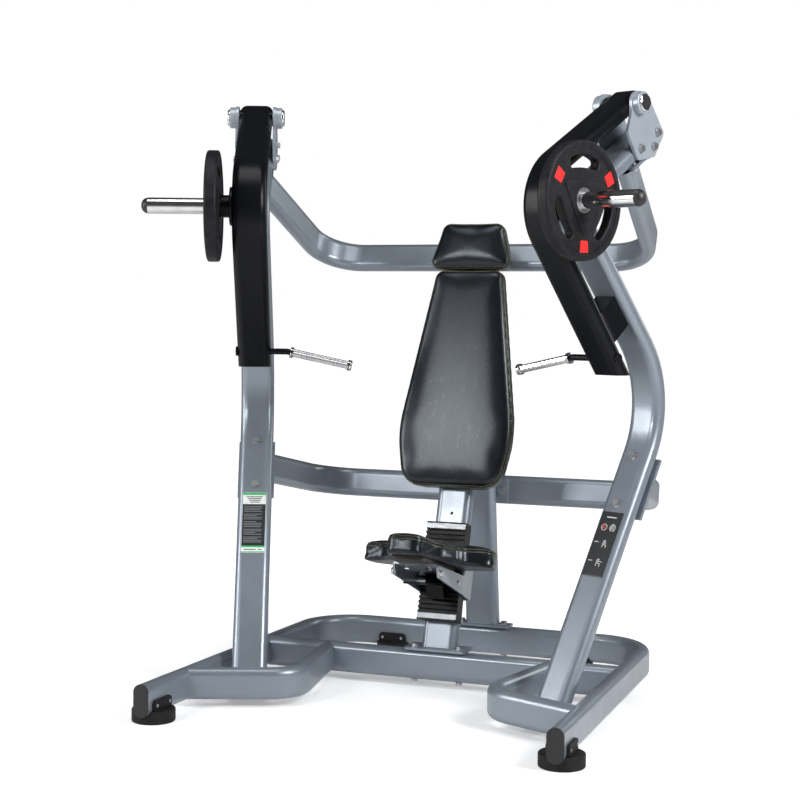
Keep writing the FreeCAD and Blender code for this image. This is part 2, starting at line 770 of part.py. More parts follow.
def pad_and_board(label, frame, outline, thickness, edge):
    """A soft pad with rounded front edges, and the flat board behind it."""
    board_outline = [(point[0] * 0.93, point[1] * 0.97 + 4, *point[2:]) for point in outline]
    board = slab(label + "_board", frame, board_outline, -thickness, BOARD - thickness)
    body = new_body(label + "_pad", frame)
    slab_pad = add_pad(body, outline, BOARD - thickness, 0)
    doc.recompute()
    front = [
        "Edge%d" % (index + 1) for index, rim in enumerate(slab_pad.Shape.Edges)
        if all(abs(corner.Z) < 0.01 for corner in rim.Vertexes)
    ]
    fillet = body.newObject("PartDesign::Fillet", "soft_edge")
    fillet.Base = (slab_pad, front)
    fillet.Radius = edge
    body.Tip = fillet
    return body, board


def mirrored(right_half):
    """A closed outline from its right-hand points, given from bottom to top."""
    left_half = [(-point[0], *point[1:]) for point in reversed(right_half)]
    return right_half + left_half


back_frame = leaning_frame(227, 640, size("back_pad_tilt"))
BACK_OUTLINE = mirrored([(173, 14, 78), (209, 200, 400), (121, 766, 36)])
head_frame = leaning_frame(415.5, 1384.8, size("back_pad_tilt"))
HEAD_OUTLINE = mirrored([(150, 0, 30), (106, 162, 32)])
back_pad, back_board = pad_and_board("back", back_frame, BACK_OUTLINE, size("back_pad_thickness"), 22)
head_pad, head_board = pad_and_board("head", head_frame, HEAD_OUTLINE, size("head_pad_thickness"), 20)
node("back_pad", back_pad)
node("headrest_pad", head_pad)
node_group("pad_boards", [back_board, head_board])
pad_brackets = []
CLEAT = 44
BACK_REAR = -size("back_pad_thickness")
HEAD_REAR = -size("head_pad_thickness")
for climb in (70, 330, 600):
    reach = 20 + 0.055 * climb
    cleat_outline = box_outline(-46, climb, 46, climb + CLEAT)
    cleat = slab("cleat_%d" % climb, back_frame, cleat_outline, BACK_REAR - reach, BACK_REAR)
    pad_brackets.append(boolean("Cut", "cleat_%d_fitted" % climb, cleat, post_outer))
head_cleat = slab("head_cleat", head_frame, box_outline(-46, 30, 46, 30 + CLEAT), HEAD_REAR - 68, HEAD_REAR)
pad_brackets.append(boolean("Cut", "head_cleat_fitted", head_cleat, post_outer))
node_group("pad_brackets", pad_brackets)

# ---- seat and its carriage -----------------------------------------------------------------------
SEAT_REAR = -size("seat_pad_thickness")
seat_frame = crossbar_frame(-180, 552, size("seat_tilt"))
SEAT_OUTLINE = mirrored([
    (110, 372, 40), (216, 322, 36), (225, 226, 26), (146, 214, 60), (74, 130, 90), (62, 0, 40),
])
seat_body = new_body("seat_cushion", seat_frame)
add_pad(seat_body, SEAT_OUTLINE, SEAT_REAR, 0)
seat_board = slab("seat_panel", seat_frame, box_outline(-60, 60, 60, 362, 20), SEAT_REAR - BOARD, SEAT_REAR)
UNDER_SEAT = SEAT_REAR - BOARD

SIDE_INNER = 70
SIDE_OUTER = 77
TIE_GAP = 3
TIE_THICKNESS = 6
PIN = (-38, 354)
FRONT_HOLE = (-216, 410)
SIDE_OUTLINE = [
    (-236, 441, 6), (-225, 398, 6), (84, 277, 10), (122, 400, 16),
    (54, 400, 10), (18, 367.7), (-2, 373.7),
]
side_holes = [(*PIN, 6), (*FRONT_HOLE, 5)]
right_side = slab("carriage_right", middle_frame(), SIDE_OUTLINE, SIDE_INNER, SIDE_OUTER, side_holes)
left_side = slab("carriage_left", middle_frame(), SIDE_OUTLINE, -SIDE_OUTER, -SIDE_INNER, side_holes)
tie_outline = box_outline(-SIDE_INNER, 168, SIDE_INNER, 278)
TIE_FACE = -HALF_POST - TIE_GAP
rear_tie = slab("carriage_rear", post_frame, tie_outline, TIE_FACE - TIE_THICKNESS, TIE_FACE)
SEAT_PLATE = 6
seat_plate_outline = box_outline(-SIDE_INNER, 124, SIDE_INNER, 340)
seat_plate = slab("carriage_top", seat_frame, seat_plate_outline, UNDER_SEAT - SEAT_PLATE, UNDER_SEAT)
carriage = doc.addObject("Part::MultiFuse", "carriage")
carriage.Shapes = [right_side, left_side, rear_tie, seat_plate]

LINER_GAP = 0.4
LINER_INNER = size("post_width") / 2 + LINER_GAP
liners = []
for side in SIDES.values():
    for climb in (175, 240):
        low, high = sorted((side * LINER_INNER, side * (SIDE_INNER - 0.1)))
        liner_outline = box_outline(low, climb, high, climb + 34)
        liners.append(slab("liner", post_frame, liner_outline, -20, 6))
rear_liner_outline = box_outline(-40, 180, 40, 266)
rear_liner = slab("rear_liner", post_frame, rear_liner_outline, TIE_FACE + 0.05, -HALF_POST - LINER_GAP)
liners.append(rear_liner)

seat_screws = []
seat_down = (seat_frame.multVec(Vector(0, 0, -1)) - seat_frame.Base).normalize()
for across in (-40, 40):
    for along in (180, 320):
        spot = seat_frame.multVec(Vector(across, along, UNDER_SEAT - SEAT_PLATE))
        seat_screws.append(bolt(spot, seat_down, SEAT_PLATE + BOARD - 2, nut=False))
for side in SIDES.values():
    spot = middle_point(side * SIDE_OUTER, *FRONT_HOLE)
    seat_screws.append(bolt(spot, Vector(side, 0, 0), SIDE_OUTER - SIDE_INNER, nut=False))
seat_screws = node("seat_screws", shape("seat_screws", seat_screws))
latch_axis = axis_frame(middle_point(0, *PIN), Vector(1, 0, 0))
pin_outline = [
    (0, -SIDE_OUTER - 4), (9, -SIDE_OUTER - 4, 2), (9, -SIDE_OUTER), (6, -SIDE_OUTER),
    (6, SIDE_OUTER), (9, SIDE_OUTER), (9, SIDE_OUTER + 4, 2), (0, SIDE_OUTER + 4),
]
node("latch_pin", turned("latch_pin", latch_axis, pin_outline))
node("seat_carriage", carriage, seat_screws)
node("seat_board", seat_board, seat_screws)
node("seat_pad", seat_body)
node_group("carriage_liners", liners)

LATCH_OUTLINE = [
    (-262, 386, 2), (-262, 379, 2), (-62, 345), (-44, 298), (-17.7, 303), (-13.5, 316),
    (-24, 364, 8), (-50, 366, 8), (-66, 352),
]
latch_hole = [(*PIN, "6 + Sizes.running_gap")]
node("latch_lever", slab("latch_lever", middle_frame(), LATCH_OUTLINE, -30, 30, latch_hole))

COIL_RADIUS = 8
HALF_WIRE = 0.75
wire_corners = [(-1, -1), (1, -1), (1, 1), (-1, 1), (-1, -1)]
wire_end = Part.makePolygon([
    Vector(COIL_RADIUS + across * HALF_WIRE, 0, along * HALF_WIRE) for across, along in wire_corners
])
spring_path = Part.Wire(Part.makeHelix(2.2, 5.5, COIL_RADIUS))
spring = spring_path.makePipeShell([wire_end], True, True)
spring.Placement = axis_frame(middle_point(40, *PIN), Vector(1, 0, 0))
node("latch_spring", shape("latch_spring", [spring]))

# ---- pressing arms -------------------------------------------------------------------------------
arm_path = [
    ARM_TOP, ("Sizes.arm_elbow_back", "Sizes.arm_elbow_height", "Sizes.arm_elbow_bend"), ARM_FOOT,
]
ARM_BOTTOM = size("arm_foot_height")
ARM_LENGTH = math.hypot(ARM_TOP[0] - ELBOW[0], ARM_TOP[1] - ELBOW[1])
HUB_WALL = 4
BEARING_OUTER = size("hub_radius") - 12
SLEEVE_RADIUS = size("sleeve_radius")
COLLAR_END = size("collar_end")
PLATE_GAP = 0.5
LOADED_END = COLLAR_END + PLATE_GAP + size("plate_thickness")
GROOVE = 1.6
HANDLE_STUB = 108
GRIP_START = 22.4
GRIP_END = 203.6
GRIP_PLAY = 0.4


def ring(inner, outer, low, high):
    return [(inner, low), (outer, low), (outer, high), (inner, high)]


below_arms = block("below_arms", (-900, -700, 0), (900, 700, ARM_BOTTOM))
arm_floor_block = block("arm_floor_block", (-900, -700, ARM_BOTTOM), (900, 700, ARM_BOTTOM + 4))
for name, side in SIDES.items():
    frame = arm_frame(side)
    out = outward(side)
    pivot_axis = axis_frame(arm_point(side, 0, 0, PIVOT[1]), out)
    sleeve_axis = axis_frame(arm_point(side, size("sleeve_back"), 0, size("sleeve_height")), out)

    handle_start = arm_point(side, size("handle_back"), 0, size("handle_height"))
    inward = (arm_point(side, -11.7, -211.3, 0) - arm_point(side, 0, 0, 0)).normalize()
    beside_handle = inward.cross(Vector(0, 0, 1))
    handle_frame = Placement(handle_start, Rotation(inward, Vector(0, 0, 1), beside_handle, "XYZ"))
    handle_path = [(-HALF_ARM, 0), (HANDLE_STUB, 0, 25), (HANDLE_STUB + 211.3, -45)]
    handle_rod = tube("handle_rod_" + name, handle_frame, handle_path, "Sizes.handle_radius")
    bend = handle_frame.multVec(Vector(HANDLE_STUB, 0, 0))
    tip = handle_frame.multVec(Vector(HANDLE_STUB + 211.3, -45, 0))
    grip_axis = axis_frame(bend, tip - bend)
    collar_ring = ring(9, 17.5, GRIP_START - 11, GRIP_START - GRIP_PLAY)
    inner_collar = turned("inner_collar_" + name, grip_axis, collar_ring)
    end_start = GRIP_END + GRIP_PLAY
    end_outline = [(0, end_start), (17.5, end_start), (17.5, GRIP_END + 13, 3), (0, GRIP_END + 13)]
    end_collar = turned("end_collar_" + name, grip_axis, end_outline)
    head_outline = [(0, HALF_ARM), (16, HALF_ARM), (16, HALF_ARM + 6, 2), (0, HALF_ARM + 6)]
    rod_head = turned("handle_head_" + name, axis_frame(handle_start, inward * -1), head_outline)
    handle = doc.addObject("Part::MultiFuse", "handle_" + name)
    handle.Shapes = [handle_rod, inner_collar, end_collar, rod_head]

    arm_hollow, arm_outer = both("arm_" + name, frame, arm_path, ARM)
    floor = doc.addObject("Part::MultiCommon", "arm_floor_" + name)
    floor.Shapes = [arm_outer, arm_floor_block]
    hub_bore = turned("hub_bore_" + name, pivot_axis, ring(0, BEARING_OUTER, -80, 80))
    hub_ring = ring(BEARING_OUTER, BEARING_OUTER + HUB_WALL, -HALF_ARM, HALF_ARM)
    hub = turned("hub_" + name, pivot_axis, hub_ring)
    walls = boolean("Cut", "arm_walls_" + name, arm_hollow, below_arms)
    walls = boolean("Cut", "arm_bored_" + name, walls, hub_bore)
    arm = doc.addObject("Part::MultiFuse", "arm_welded_" + name)
    arm.Shapes = [walls, hub, floor]
    node("arm_tube_" + name, arm, handle)
    node("handle_bar_" + name, handle)
    cap_end = beside(ELBOW, ARM_TOP, ARM_LENGTH + CAP_THICKNESS, 0)
    node("arm_cap_" + name, tube("arm_cap_" + name, frame, [ARM_TOP, cap_end], ARM, hollow=False))

    gap = size("running_gap")
    bearings = []
    for face in (-1, 1):
        low, high = sorted((face * HALF_ARM, face * (HALF_ARM - size("bearing_width"))))
        bearing = ring(size("axle_radius") + gap, BEARING_OUTER, low, high)
        bearings.append(turned("bearing_%s_%d" % (name, face), pivot_axis, bearing))
    node_group("arm_bearings_" + name, bearings)

    sleeve_end = size("sleeve_end")
    sleeve_outline = [
        (0, HALF_ARM), (SLEEVE_RADIUS, HALF_ARM), (SLEEVE_RADIUS, LOADED_END + 1),
        (SLEEVE_RADIUS - GROOVE / 2, LOADED_END + 1), (SLEEVE_RADIUS - GROOVE / 2, LOADED_END + 1 + GROOVE),
        (SLEEVE_RADIUS, LOADED_END + 1 + GROOVE), (SLEEVE_RADIUS, sleeve_end), (0, sleeve_end),
    ]
    node("weight_sleeve_" + name, turned("weight_sleeve_" + name, sleeve_axis, sleeve_outline))
    collar_outline = [
        (SLEEVE_RADIUS, HALF_ARM), (60, HALF_ARM), (60, HALF_ARM + 8, 2), (35, HALF_ARM + 8),
        (35, COLLAR_END, 2), (SLEEVE_RADIUS, COLLAR_END),
    ]
    node("sleeve_collar_" + name, turned("sleeve_collar_" + name, sleeve_axis, collar_outline))
    dome_outline = [(0, sleeve_end), (24.8, sleeve_end), (24.8, sleeve_end + 25, 20), (0, sleeve_end + 25)]
    node("sleeve_cap_" + name, turned("sleeve_cap_" + name, sleeve_axis, dome_outline))
    grip = ring(size("handle_radius") + gap, size("grip_radius"), GRIP_START, GRIP_END)
    node("grip_" + name, turned("grip_" + name, grip_axis, grip))

# ---- weight plates -------------------------------------------------------------------------------
HALF_PLATE = size("plate_thickness") / 2
WEB = HALF_PLATE - 7
HUB_RADIUS = 60
RIM_INNER = size("plate_radius") - 24
BORE = SLEEVE_RADIUS + size("plate_bore_gap")
INSERT = 38
PLATE_OUTLINE = [
    (INSERT, -HALF_PLATE), (HUB_RADIUS, -HALF_PLATE, 3), (HUB_RADIUS + 5, -WEB), (RIM_INNER, -WEB),
    (RIM_INNER + 6, -HALF_PLATE, 3), ("Sizes.plate_radius", -HALF_PLATE, 7),
    ("Sizes.plate_radius", HALF_PLATE, 7), (RIM_INNER + 6, HALF_PLATE, 3), (RIM_INNER, WEB),
    (HUB_RADIUS + 5, WEB), (HUB_RADIUS, HALF_PLATE, 3), (INSERT, HALF_PLATE),
]
for name, side in SIDES.items():
    plate_out = COLLAR_END + PLATE_GAP + HALF_PLATE
    plate_place = arm_point(side, size("sleeve_back"), plate_out, size("sleeve_height"))
    plate_frame = Placement(plate_place, arm_frame(side).Rotation)
    plate = turned("plate_" + name, plate_frame, PLATE_OUTLINE)
    doc.recompute()
    window_sketch = new_sketch(plate, "window")
    draw(window_sketch, [(-50, 92, 16), (50, 92, 16), (58, 128, 18), (-58, 128, 18)])
    window = plate.newObject("PartDesign::Pocket", "window_cut")
    window.Profile = window_sketch
    window.Midplane = True
    window.Type = "ThroughAll"
    doc.recompute()
    windows = plate.newObject("PartDesign::PolarPattern", "windows")
    windows.Originals = [window]
    windows.Axis = (window_sketch, ["N_Axis"])
    windows.Angle = 360
    windows.Occurrences = 3
    plate.Tip = windows
    node("weight_plate_" + name, plate)
    insert = [
        (BORE, -HALF_PLATE + 1), (INSERT, -HALF_PLATE + 1), (INSERT, HALF_PLATE - 1), (BORE, HALF_PLATE - 1),
    ]
    node("plate_insert_" + name, turned("plate_insert_" + name, plate_frame, insert))

# ---- checks and export ---------------------------------------------------------------------------
doc.recompute()
for item in doc.Objects:
    if "Invalid" in item.State or "Error" in item.State:
        raise RuntimeError("%s failed: %s" % (item.Label, item.State))
os.makedirs("parts", exist_ok=True)
for item in nodes:
    if item.Shape.isNull() or not item.Shape.isValid() or not item.Shape.Solids:
        raise RuntimeError("%s has no valid shape" % item.Label)
for item in nodes:
    item.Shape.exportStep("parts/%s.step" % item.Label)
print("%d nodes" % len(nodes))
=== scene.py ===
import json
import math

import bmesh
import bpy
import numpy as np
from mathutils import Matrix, Vector, noise
from mathutils.bvhtree import BVHTree
from mathutils.kdtree import KDTree

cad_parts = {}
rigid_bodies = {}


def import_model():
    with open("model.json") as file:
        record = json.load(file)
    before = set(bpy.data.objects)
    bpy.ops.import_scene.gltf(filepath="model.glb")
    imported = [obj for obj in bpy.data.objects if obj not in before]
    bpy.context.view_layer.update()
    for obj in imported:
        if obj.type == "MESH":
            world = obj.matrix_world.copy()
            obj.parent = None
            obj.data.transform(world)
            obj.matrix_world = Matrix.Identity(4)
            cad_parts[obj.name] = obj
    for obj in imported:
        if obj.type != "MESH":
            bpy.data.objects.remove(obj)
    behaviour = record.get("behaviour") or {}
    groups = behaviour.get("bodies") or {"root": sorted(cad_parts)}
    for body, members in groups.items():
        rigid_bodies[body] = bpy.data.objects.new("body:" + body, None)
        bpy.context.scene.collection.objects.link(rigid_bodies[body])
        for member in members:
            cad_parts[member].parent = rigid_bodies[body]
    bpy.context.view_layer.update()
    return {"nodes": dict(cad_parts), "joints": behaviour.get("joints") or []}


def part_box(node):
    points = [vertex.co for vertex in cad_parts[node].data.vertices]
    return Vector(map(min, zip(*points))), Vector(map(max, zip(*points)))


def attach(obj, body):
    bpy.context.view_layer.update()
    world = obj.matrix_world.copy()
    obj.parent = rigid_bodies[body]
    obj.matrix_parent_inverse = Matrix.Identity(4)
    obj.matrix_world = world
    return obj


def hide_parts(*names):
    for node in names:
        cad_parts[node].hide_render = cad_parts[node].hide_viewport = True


# The looks of a plate-loaded chest press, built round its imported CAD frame. Metres, +Z up, user faces -Y.

for leftover in list(bpy.data.objects):
    bpy.data.objects.remove(leftover)
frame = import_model()
JOINTS = {joint["name"]: joint for joint in frame["joints"]}
SIDES = ("left", "right")
UP = Vector((0, 0, 1))
ACROSS = Vector((1, 0, 0))


# ---- materials -----------------------------------------------------------------------------------

def new_look(name, **sockets):
    """A material and its shader. Sockets are named with underscores for spaces."""
    look = bpy.data.materials.new(name)
    look.use_nodes = True
    shader = look.node_tree.nodes["Principled BSDF"]
    for socket, value in sockets.items():
        shader.inputs[socket.replace("_", " ")].default_value = value
    return look, shader


def add(look, kind, settings=(), **inputs):
    """A shader node. Each input is a value, or an output of another node to link from."""
    tree = look.node_tree
    made = tree.nodes.new("ShaderNode" + kind)
    for name, value in dict(settings).items():
        setattr(made, name, value)
    for name, value in inputs.items():
        key = int(name[1:]) if name[0] == "i" and name[1:].isdigit() else name.replace("_", " ")
        if isinstance(value, bpy.types.NodeSocket):
            tree.links.new(value, made.inputs[key])
        else:
            made.inputs[key].default_value = value
    return made


def link(look, output, target):
    look.node_tree.links.new(output, target)


def place(look, stretch=(1, 1, 1), turn=(0, 0, 0)):
    """Coordinates in metres that stay with the piece, stretched and turned."""
    coordinates = add(look, "TexCoord").outputs["Object"]
    return add(look, "Mapping", Vector=coordinates, Scale=stretch, Rotation=turn).outputs["Vector"]


def grain(look, scale, detail=3, roughness=0.5, where=None):
    where = where or place(look)
    made = add(look, "TexNoise", Vector=where, Scale=scale, Detail=detail, Roughness=roughness)
    return made.outputs["Fac"]


def ramp(look, amount, low, high, low_to=0.0, high_to=1.0):
    """Amount, taken from the range low to high to another range."""
    values = {"From_Min": low, "From_Max": high, "To_Min": low_to, "To_Max": high_to}
    return add(look, "MapRange", Value=amount, **values).outputs["Result"]


def mix(look, amount, first, second):
    """A colour between two, each of them a colour or an output."""
    made = add(look, "Mix", {"data_type": "RGBA"}, i0=amount, i6=first, i7=second)
    return made.outputs[2]


def math_node(look, operation, first, second=0.0):
    return add(look, "Math", {"operation": operation}, i0=first, i1=second).outputs[0]


def tint(look, shader, amount, first, second):
    """The shader's colour, between two by the amount."""
    link(look, mix(look, amount, first, second), shader.inputs["Base Color"])


def dull(look, shader, amount, low, high, low_to, high_to):
    """The shader's roughness, from low_to to high_to as the amount goes from low to high."""
    link(look, ramp(look, amount, low, high, low_to, high_to), shader.inputs["Roughness"])


def bump(look, shader, height, strength, distance):
    """Relief on the shader, on top of any that it has."""
    made = add(look, "Bump", Height=height, Strength=strength, Distance=distance)
    if shader.inputs["Normal"].is_linked:
        link(look, shader.inputs["Normal"].links[0].from_socket, made.inputs["Normal"])
    link(look, made.outputs["Normal"], shader.inputs["Normal"])


def shade(*colour):
    return (*colour, 1.0)


def altered(colour, factor, lift=0.0):
    """The colour times the factor, and lifted by an amount."""
    return shade(*[min(1.0, part * factor + lift) for part in colour[:3]])


def powder_coat(name, colour, roughness, flake, coat, gloss=0.5):
    """Baked paint: fine flakes, a faint orange peel and slow changes of tone."""
    look, shader = new_look(
        name, Coat_Weight=coat, Coat_Roughness=0.16, Metallic=flake, Specular_IOR_Level=gloss)
    tone = ramp(look, grain(look, 3.0), 0.3, 0.7, 0.94, 1.05)
    fleck = ramp(look, grain(look, 2600, 1), 0.35, 0.65, 0.90, 1.10)
    amount = math_node(look, "MULTIPLY", tone, fleck)
    base = add(look, "VectorMath", {"operation": "SCALE"}, i0=colour[:3], Scale=amount).outputs[0]
    link(look, base, shader.inputs["Base Color"])
    dull(look, shader, grain(look, 14), 0.3, 0.7, roughness - 0.04, roughness + 0.05)
    bump(look, shader, grain(look, 420, 2), 0.12, 0.0004)
    bump(look, shader, grain(look, 2200, 1), 0.10, 0.0001)
    return look


def metal(name, colour, roughness, scratch, relief=0.05):
    """Bare or plated metal with fine scratches and slight stains."""
    look, shader = new_look(name, Metallic=1.0)
    tint(look, shader, ramp(look, grain(look, 22), 0.35, 0.7), colour, altered(colour, 0.86))
    brushed = grain(look, 300, 4, where=place(look, (1, 1, 14)))
    dull(look, shader, brushed, 0.3, 0.75, roughness, roughness + scratch)
    bump(look, shader, brushed, relief, 0.0002)
    return look


def leather():
    """Blue-black vinyl hide: pebbled grain with painted shade in its valleys, long soft creases and slow
    changes of tone.
    """
    look, shader = new_look("black_leather", Specular_IOR_Level=0.5, Specular_Tint=shade(0.84, 0.92, 1.0))
    pebbles = add(look, "TexVoronoi", {"feature": "DISTANCE_TO_EDGE"}, Vector=place(look), Scale=620)
    valleys = ramp(look, pebbles.outputs["Distance"], 0.0, 0.22)
    worn = grain(look, 26, 4)
    colour = mix(look, ramp(look, worn, 0.35, 0.7), shade(0.004, 0.005, 0.008), shade(0.006, 0.0075, 0.012))
    # The pebble valleys are tinted darker than the hide: painted shade in the hollows of the grain.
    tint(look, shader, valleys, shade(0.003, 0.003, 0.004), colour)
    creases = grain(look, 110, 5, 0.65, where=place(look, (1.0, 0.32, 0.24)))
    dull(look, shader, creases, 0.30, 0.70, 0.270, 0.300)
    bump(look, shader, creases, 0.06, 0.0010)
    bump(look, shader, valleys, 0.10, 0.0003)
    return look


def rubber(name, colour, roughness, dust):
    """Moulded rubber with a mottled bloom."""
    look, shader = new_look(name, Specular_IOR_Level=0.2)
    bloom = ramp(look, grain(look, 45, 6, 0.65), 0.42, 0.72)
    tint(look, shader, bloom, colour, altered(colour, 1.0, dust))
    dull(look, shader, grain(look, 130, 4), 0.3, 0.7, roughness - 0.08, roughness + 0.08)
    bump(look, shader, grain(look, 900, 3), 0.25, 0.0004)
    bump(look, shader, grain(look, 120, 3), 0.12, 0.0008)
    return look


def plastic(name, colour, roughness):
    """Moulded plastic with a spark-eroded texture."""
    look, shader = new_look(name)
    tint(look, shader, ramp(look, grain(look, 35), 0.3, 0.7), colour, altered(colour, 1.35))
    dull(look, shader, grain(look, 700, 2), 0.3, 0.7, roughness - 0.05, roughness + 0.07)
    bump(look, shader, grain(look, 1100, 2), 0.30, 0.0003)
    return look


def print_ink(name, colour, roughness=0.42):
    """Printed film, with a faint mottle and a slight waviness."""
    look, shader = new_look(name, Coat_Weight=0.3, Coat_Roughness=0.2)
    tint(look, shader, ramp(look, grain(look, 160, 4), 0.35, 0.7), colour, altered(colour, 1.18, 0.004))
    dull(look, shader, grain(look, 40), 0.3, 0.7, roughness, roughness + 0.1)
    bump(look, shader, grain(look, 300, 2), 0.08, 0.0004)
    return look


def thread():
    """Twisted olive sewing thread."""
    look, shader = new_look("olive_thread", Sheen_Weight=0.3, Roughness=0.6)
    strands = grain(look, 1500, 2)
    tint(look, shader, strands, shade(0.16, 0.145, 0.045), shade(0.40, 0.37, 0.13))
    bump(look, shader, strands, 0.5, 0.0003)
    return look


def plywood():
    """Pad boards: stained ply with its grain along the board."""
    look, shader = new_look("stained_plywood")
    fibres = grain(look, 40, 6, 0.6, where=place(look, (9, 1, 0.6)))
    stained = ramp(look, fibres, 0.3, 0.7)
    tint(look, shader, stained, shade(0.020, 0.016, 0.013), shade(0.050, 0.038, 0.028))
    dull(look, shader, fibres, 0.3, 0.7, 0.55, 0.72)
    bump(look, shader, fibres, 0.3, 0.0006)
    return look


def rack_look(front, depth, climb, foot, top):
    """Black powder coat, with a painted highlight on the rib tops and an uncoated strip on each end block.

    Front is the rack's face normal and depth its level. Climb runs up it from foot to top.
    """
    look, shader = new_look("rack_ribs", Specular_IOR_Level=0.1)
    where = add(look, "TexCoord").outputs["Object"]
    out = add(look, "VectorMath", {"operation": "DOT_PRODUCT"}, i0=where, i1=front).outputs["Value"]
    along = add(look, "VectorMath", {"operation": "DOT_PRODUCT"}, i0=where, i1=climb).outputs["Value"]
    edge_jitter = ramp(look, grain(look, 120, 5), 0.3, 0.7, -0.0006, 0.0006)
    face = ramp(look, math_node(look, "ADD", out, edge_jitter), depth - 0.0012, depth - 0.0004)
    from_middle = math_node(look, "ABSOLUTE", math_node(look, "SUBTRACT", along, (foot + top) / 2))
    half = (top - foot) / 2
    worn = math_node(look, "ADD", from_middle, edge_jitter)
    past_ribs = ramp(look, worn, half - 0.0225, half - 0.0215)
    short_of_end = ramp(look, worn, half - 0.0048, half - 0.0058)
    strip = math_node(look, "MULTIPLY", past_ribs, short_of_end)
    # Rib tops take 3 % of the steel colour, a painted highlight; the end block strips take all of it, real
    # uncoated steel.
    steel_and_highlight = math_node(look, "MULTIPLY", face, math_node(look, "MAXIMUM", strip, 0.03))
    brushed = grain(look, 260, 4, where=place(look, (0.12, 1, 1)))
    steel = mix(look, brushed, shade(0.18, 0.19, 0.20), shade(0.30, 0.31, 0.32))
    tint(look, shader, steel_and_highlight, shade(0.006, 0.006, 0.007), steel)
    link(look, math_node(look, "MULTIPLY", steel_and_highlight, 0.8), shader.inputs["Metallic"])
    dull(look, shader, brushed, 0.3, 0.7, 0.30, 0.44)
    bump(look, shader, brushed, 0.12, 0.0003)
    return look


SILVER = powder_coat("silver_grey_paint", shade(0.250, 0.285, 0.330), 0.33, 0.45, 0.30)
PALE = powder_coat("bracket_paint", shade(0.36, 0.40, 0.45), 0.36, 0.35, 0.25)
BLACK = powder_coat("satin_black_paint", shade(0.004, 0.0045, 0.006), 0.30, 0.0, 0.0, 0.16)
CHROME = metal("chrome_plate", shade(0.78, 0.78, 0.79), 0.08, 0.10, 0.02)
STEEL = metal("zinc_steel", shade(0.60, 0.60, 0.61), 0.24, 0.20)
DARK_STEEL = metal("turned_steel", shade(0.48, 0.48, 0.49), 0.28, 0.18)
LEATHER = leather()
PLATE_RUBBER = rubber("plate_rubber", shade(0.008, 0.008, 0.010), 0.48, 0.010)
FOOT_RUBBER = rubber("foot_rubber", shade(0.010, 0.010, 0.011), 0.60, 0.010)
PLASTIC = plastic("black_plastic", shade(0.012, 0.012, 0.013), 0.42)
LINER = plastic("liner_plastic", shade(0.05, 0.05, 0.052), 0.5)
THREAD = thread()
BOARD = plywood()
RED = print_ink("red_patch", shade(0.80, 0.012, 0.010))
GREEN = print_ink("placard_green", shade(0.03, 0.42, 0.13))
WHITE = print_ink("placard_white", shade(0.75, 0.78, 0.77))
INK = print_ink("placard_black", shade(0.012, 0.013, 0.016), 0.36)
GREY_INK = print_ink("placard_grey", shade(0.20, 0.21, 0.22))
PALE_INK = print_ink("placard_pale", shade(0.60, 0.61, 0.60))
DARK_INK = print_ink("placard_lines", shade(0.09, 0.10, 0.10))
ORANGE_INK = print_ink("placard_mark", shade(0.55, 0.10, 0.05))


# ---- mesh helpers --------------------------------------------------------------------------------

def axes_matrix(origin, x, y, z):
    made = Matrix((x, y, z)).transposed().to_4x4()
    made.translation = origin
    return made


def axis_matrix(origin, axis):
    """Z along the axis, and Y as near to upright as it can be."""
    z = Vector(axis).normalized()
    x = UP.cross(z).normalized() if abs(z.z) < 0.99 else ACROSS
    return axes_matrix(Vector(origin), x, z.cross(x), z)


def put(name, data):
    """A new object in the scene."""
    made = bpy.data.objects.new(name, data)
    bpy.context.scene.collection.objects.link(made)
    return made


def put_mesh(name, bm):
    """A new object from a bmesh, which it uses up."""
    mesh = bpy.data.meshes.new(name)
    bm.to_mesh(mesh)
    bm.free()
    return put(name, mesh)


def piece_of(name, bm, look, body, smooth=35):
    """A piece from a bmesh that is already in the shared frame."""
    bmesh.ops.recalc_face_normals(bm, faces=bm.faces)
    piece = put_mesh(name, bm)
    dress(piece, look)
    soften(piece, smooth)
    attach(piece, body)
    return piece


def dress(piece, look):
    piece.data.materials.clear()
    piece.data.materials.append(look)
    piece.data.polygons.foreach_set("material_index", [0] * len(piece.data.polygons))


def soften(piece, angle):
    """Smooth shading, with a crease wherever faces meet more sharply than the angle."""
    piece.data.shade_smooth()
    bm = bmesh.new()
    bm.from_mesh(piece.data)
    limit = math.radians(angle)
    for edge in bm.edges:
        edge.smooth = edge.is_manifold and edge.calc_face_angle(0) < limit
    bm.to_mesh(piece.data)
    bm.free()


def turned(name, profile, place_at, look, body, segments=64, wobble=None):
    """A turned piece. The profile is a closed outline of (radius, height) round the place's Z."""
    bm = bmesh.new()
    rows = []
    for step in range(segments):
        angle = 2 * math.pi * step / segments
        row = []
        for radius, height in profile:
            shift = wobble(angle, radius, height) if wobble else 0.0
            spot = Vector(((radius + shift) * math.cos(angle), (radius + shift) * math.sin(angle), height))
            row.append(bm.verts.new(place_at @ spot))
        rows.append(row)
    count = len(profile)
    for step in range(segments):
        here, after = rows[step], rows[(step + 1) % segments]
        for index in range(count):
            following = (index + 1) % count
            if profile[index][0] < 1e-6 and profile[following][0] < 1e-6:
                continue
            bm.faces.new((here[index], here[following], after[following], after[index]))
    bmesh.ops.remove_doubles(bm, verts=bm.verts, dist=1e-6)
    return piece_of(name, bm, look, body)


def arc(centre, radius, start, end, steps):
    """Points on an arc, with its angles in degrees."""
    angles = [math.radians(start + (end - start) * step / steps) for step in range(steps + 1)]
    return [(centre[0] + radius * math.cos(a), centre[1] + radius * math.sin(a)) for a in angles]


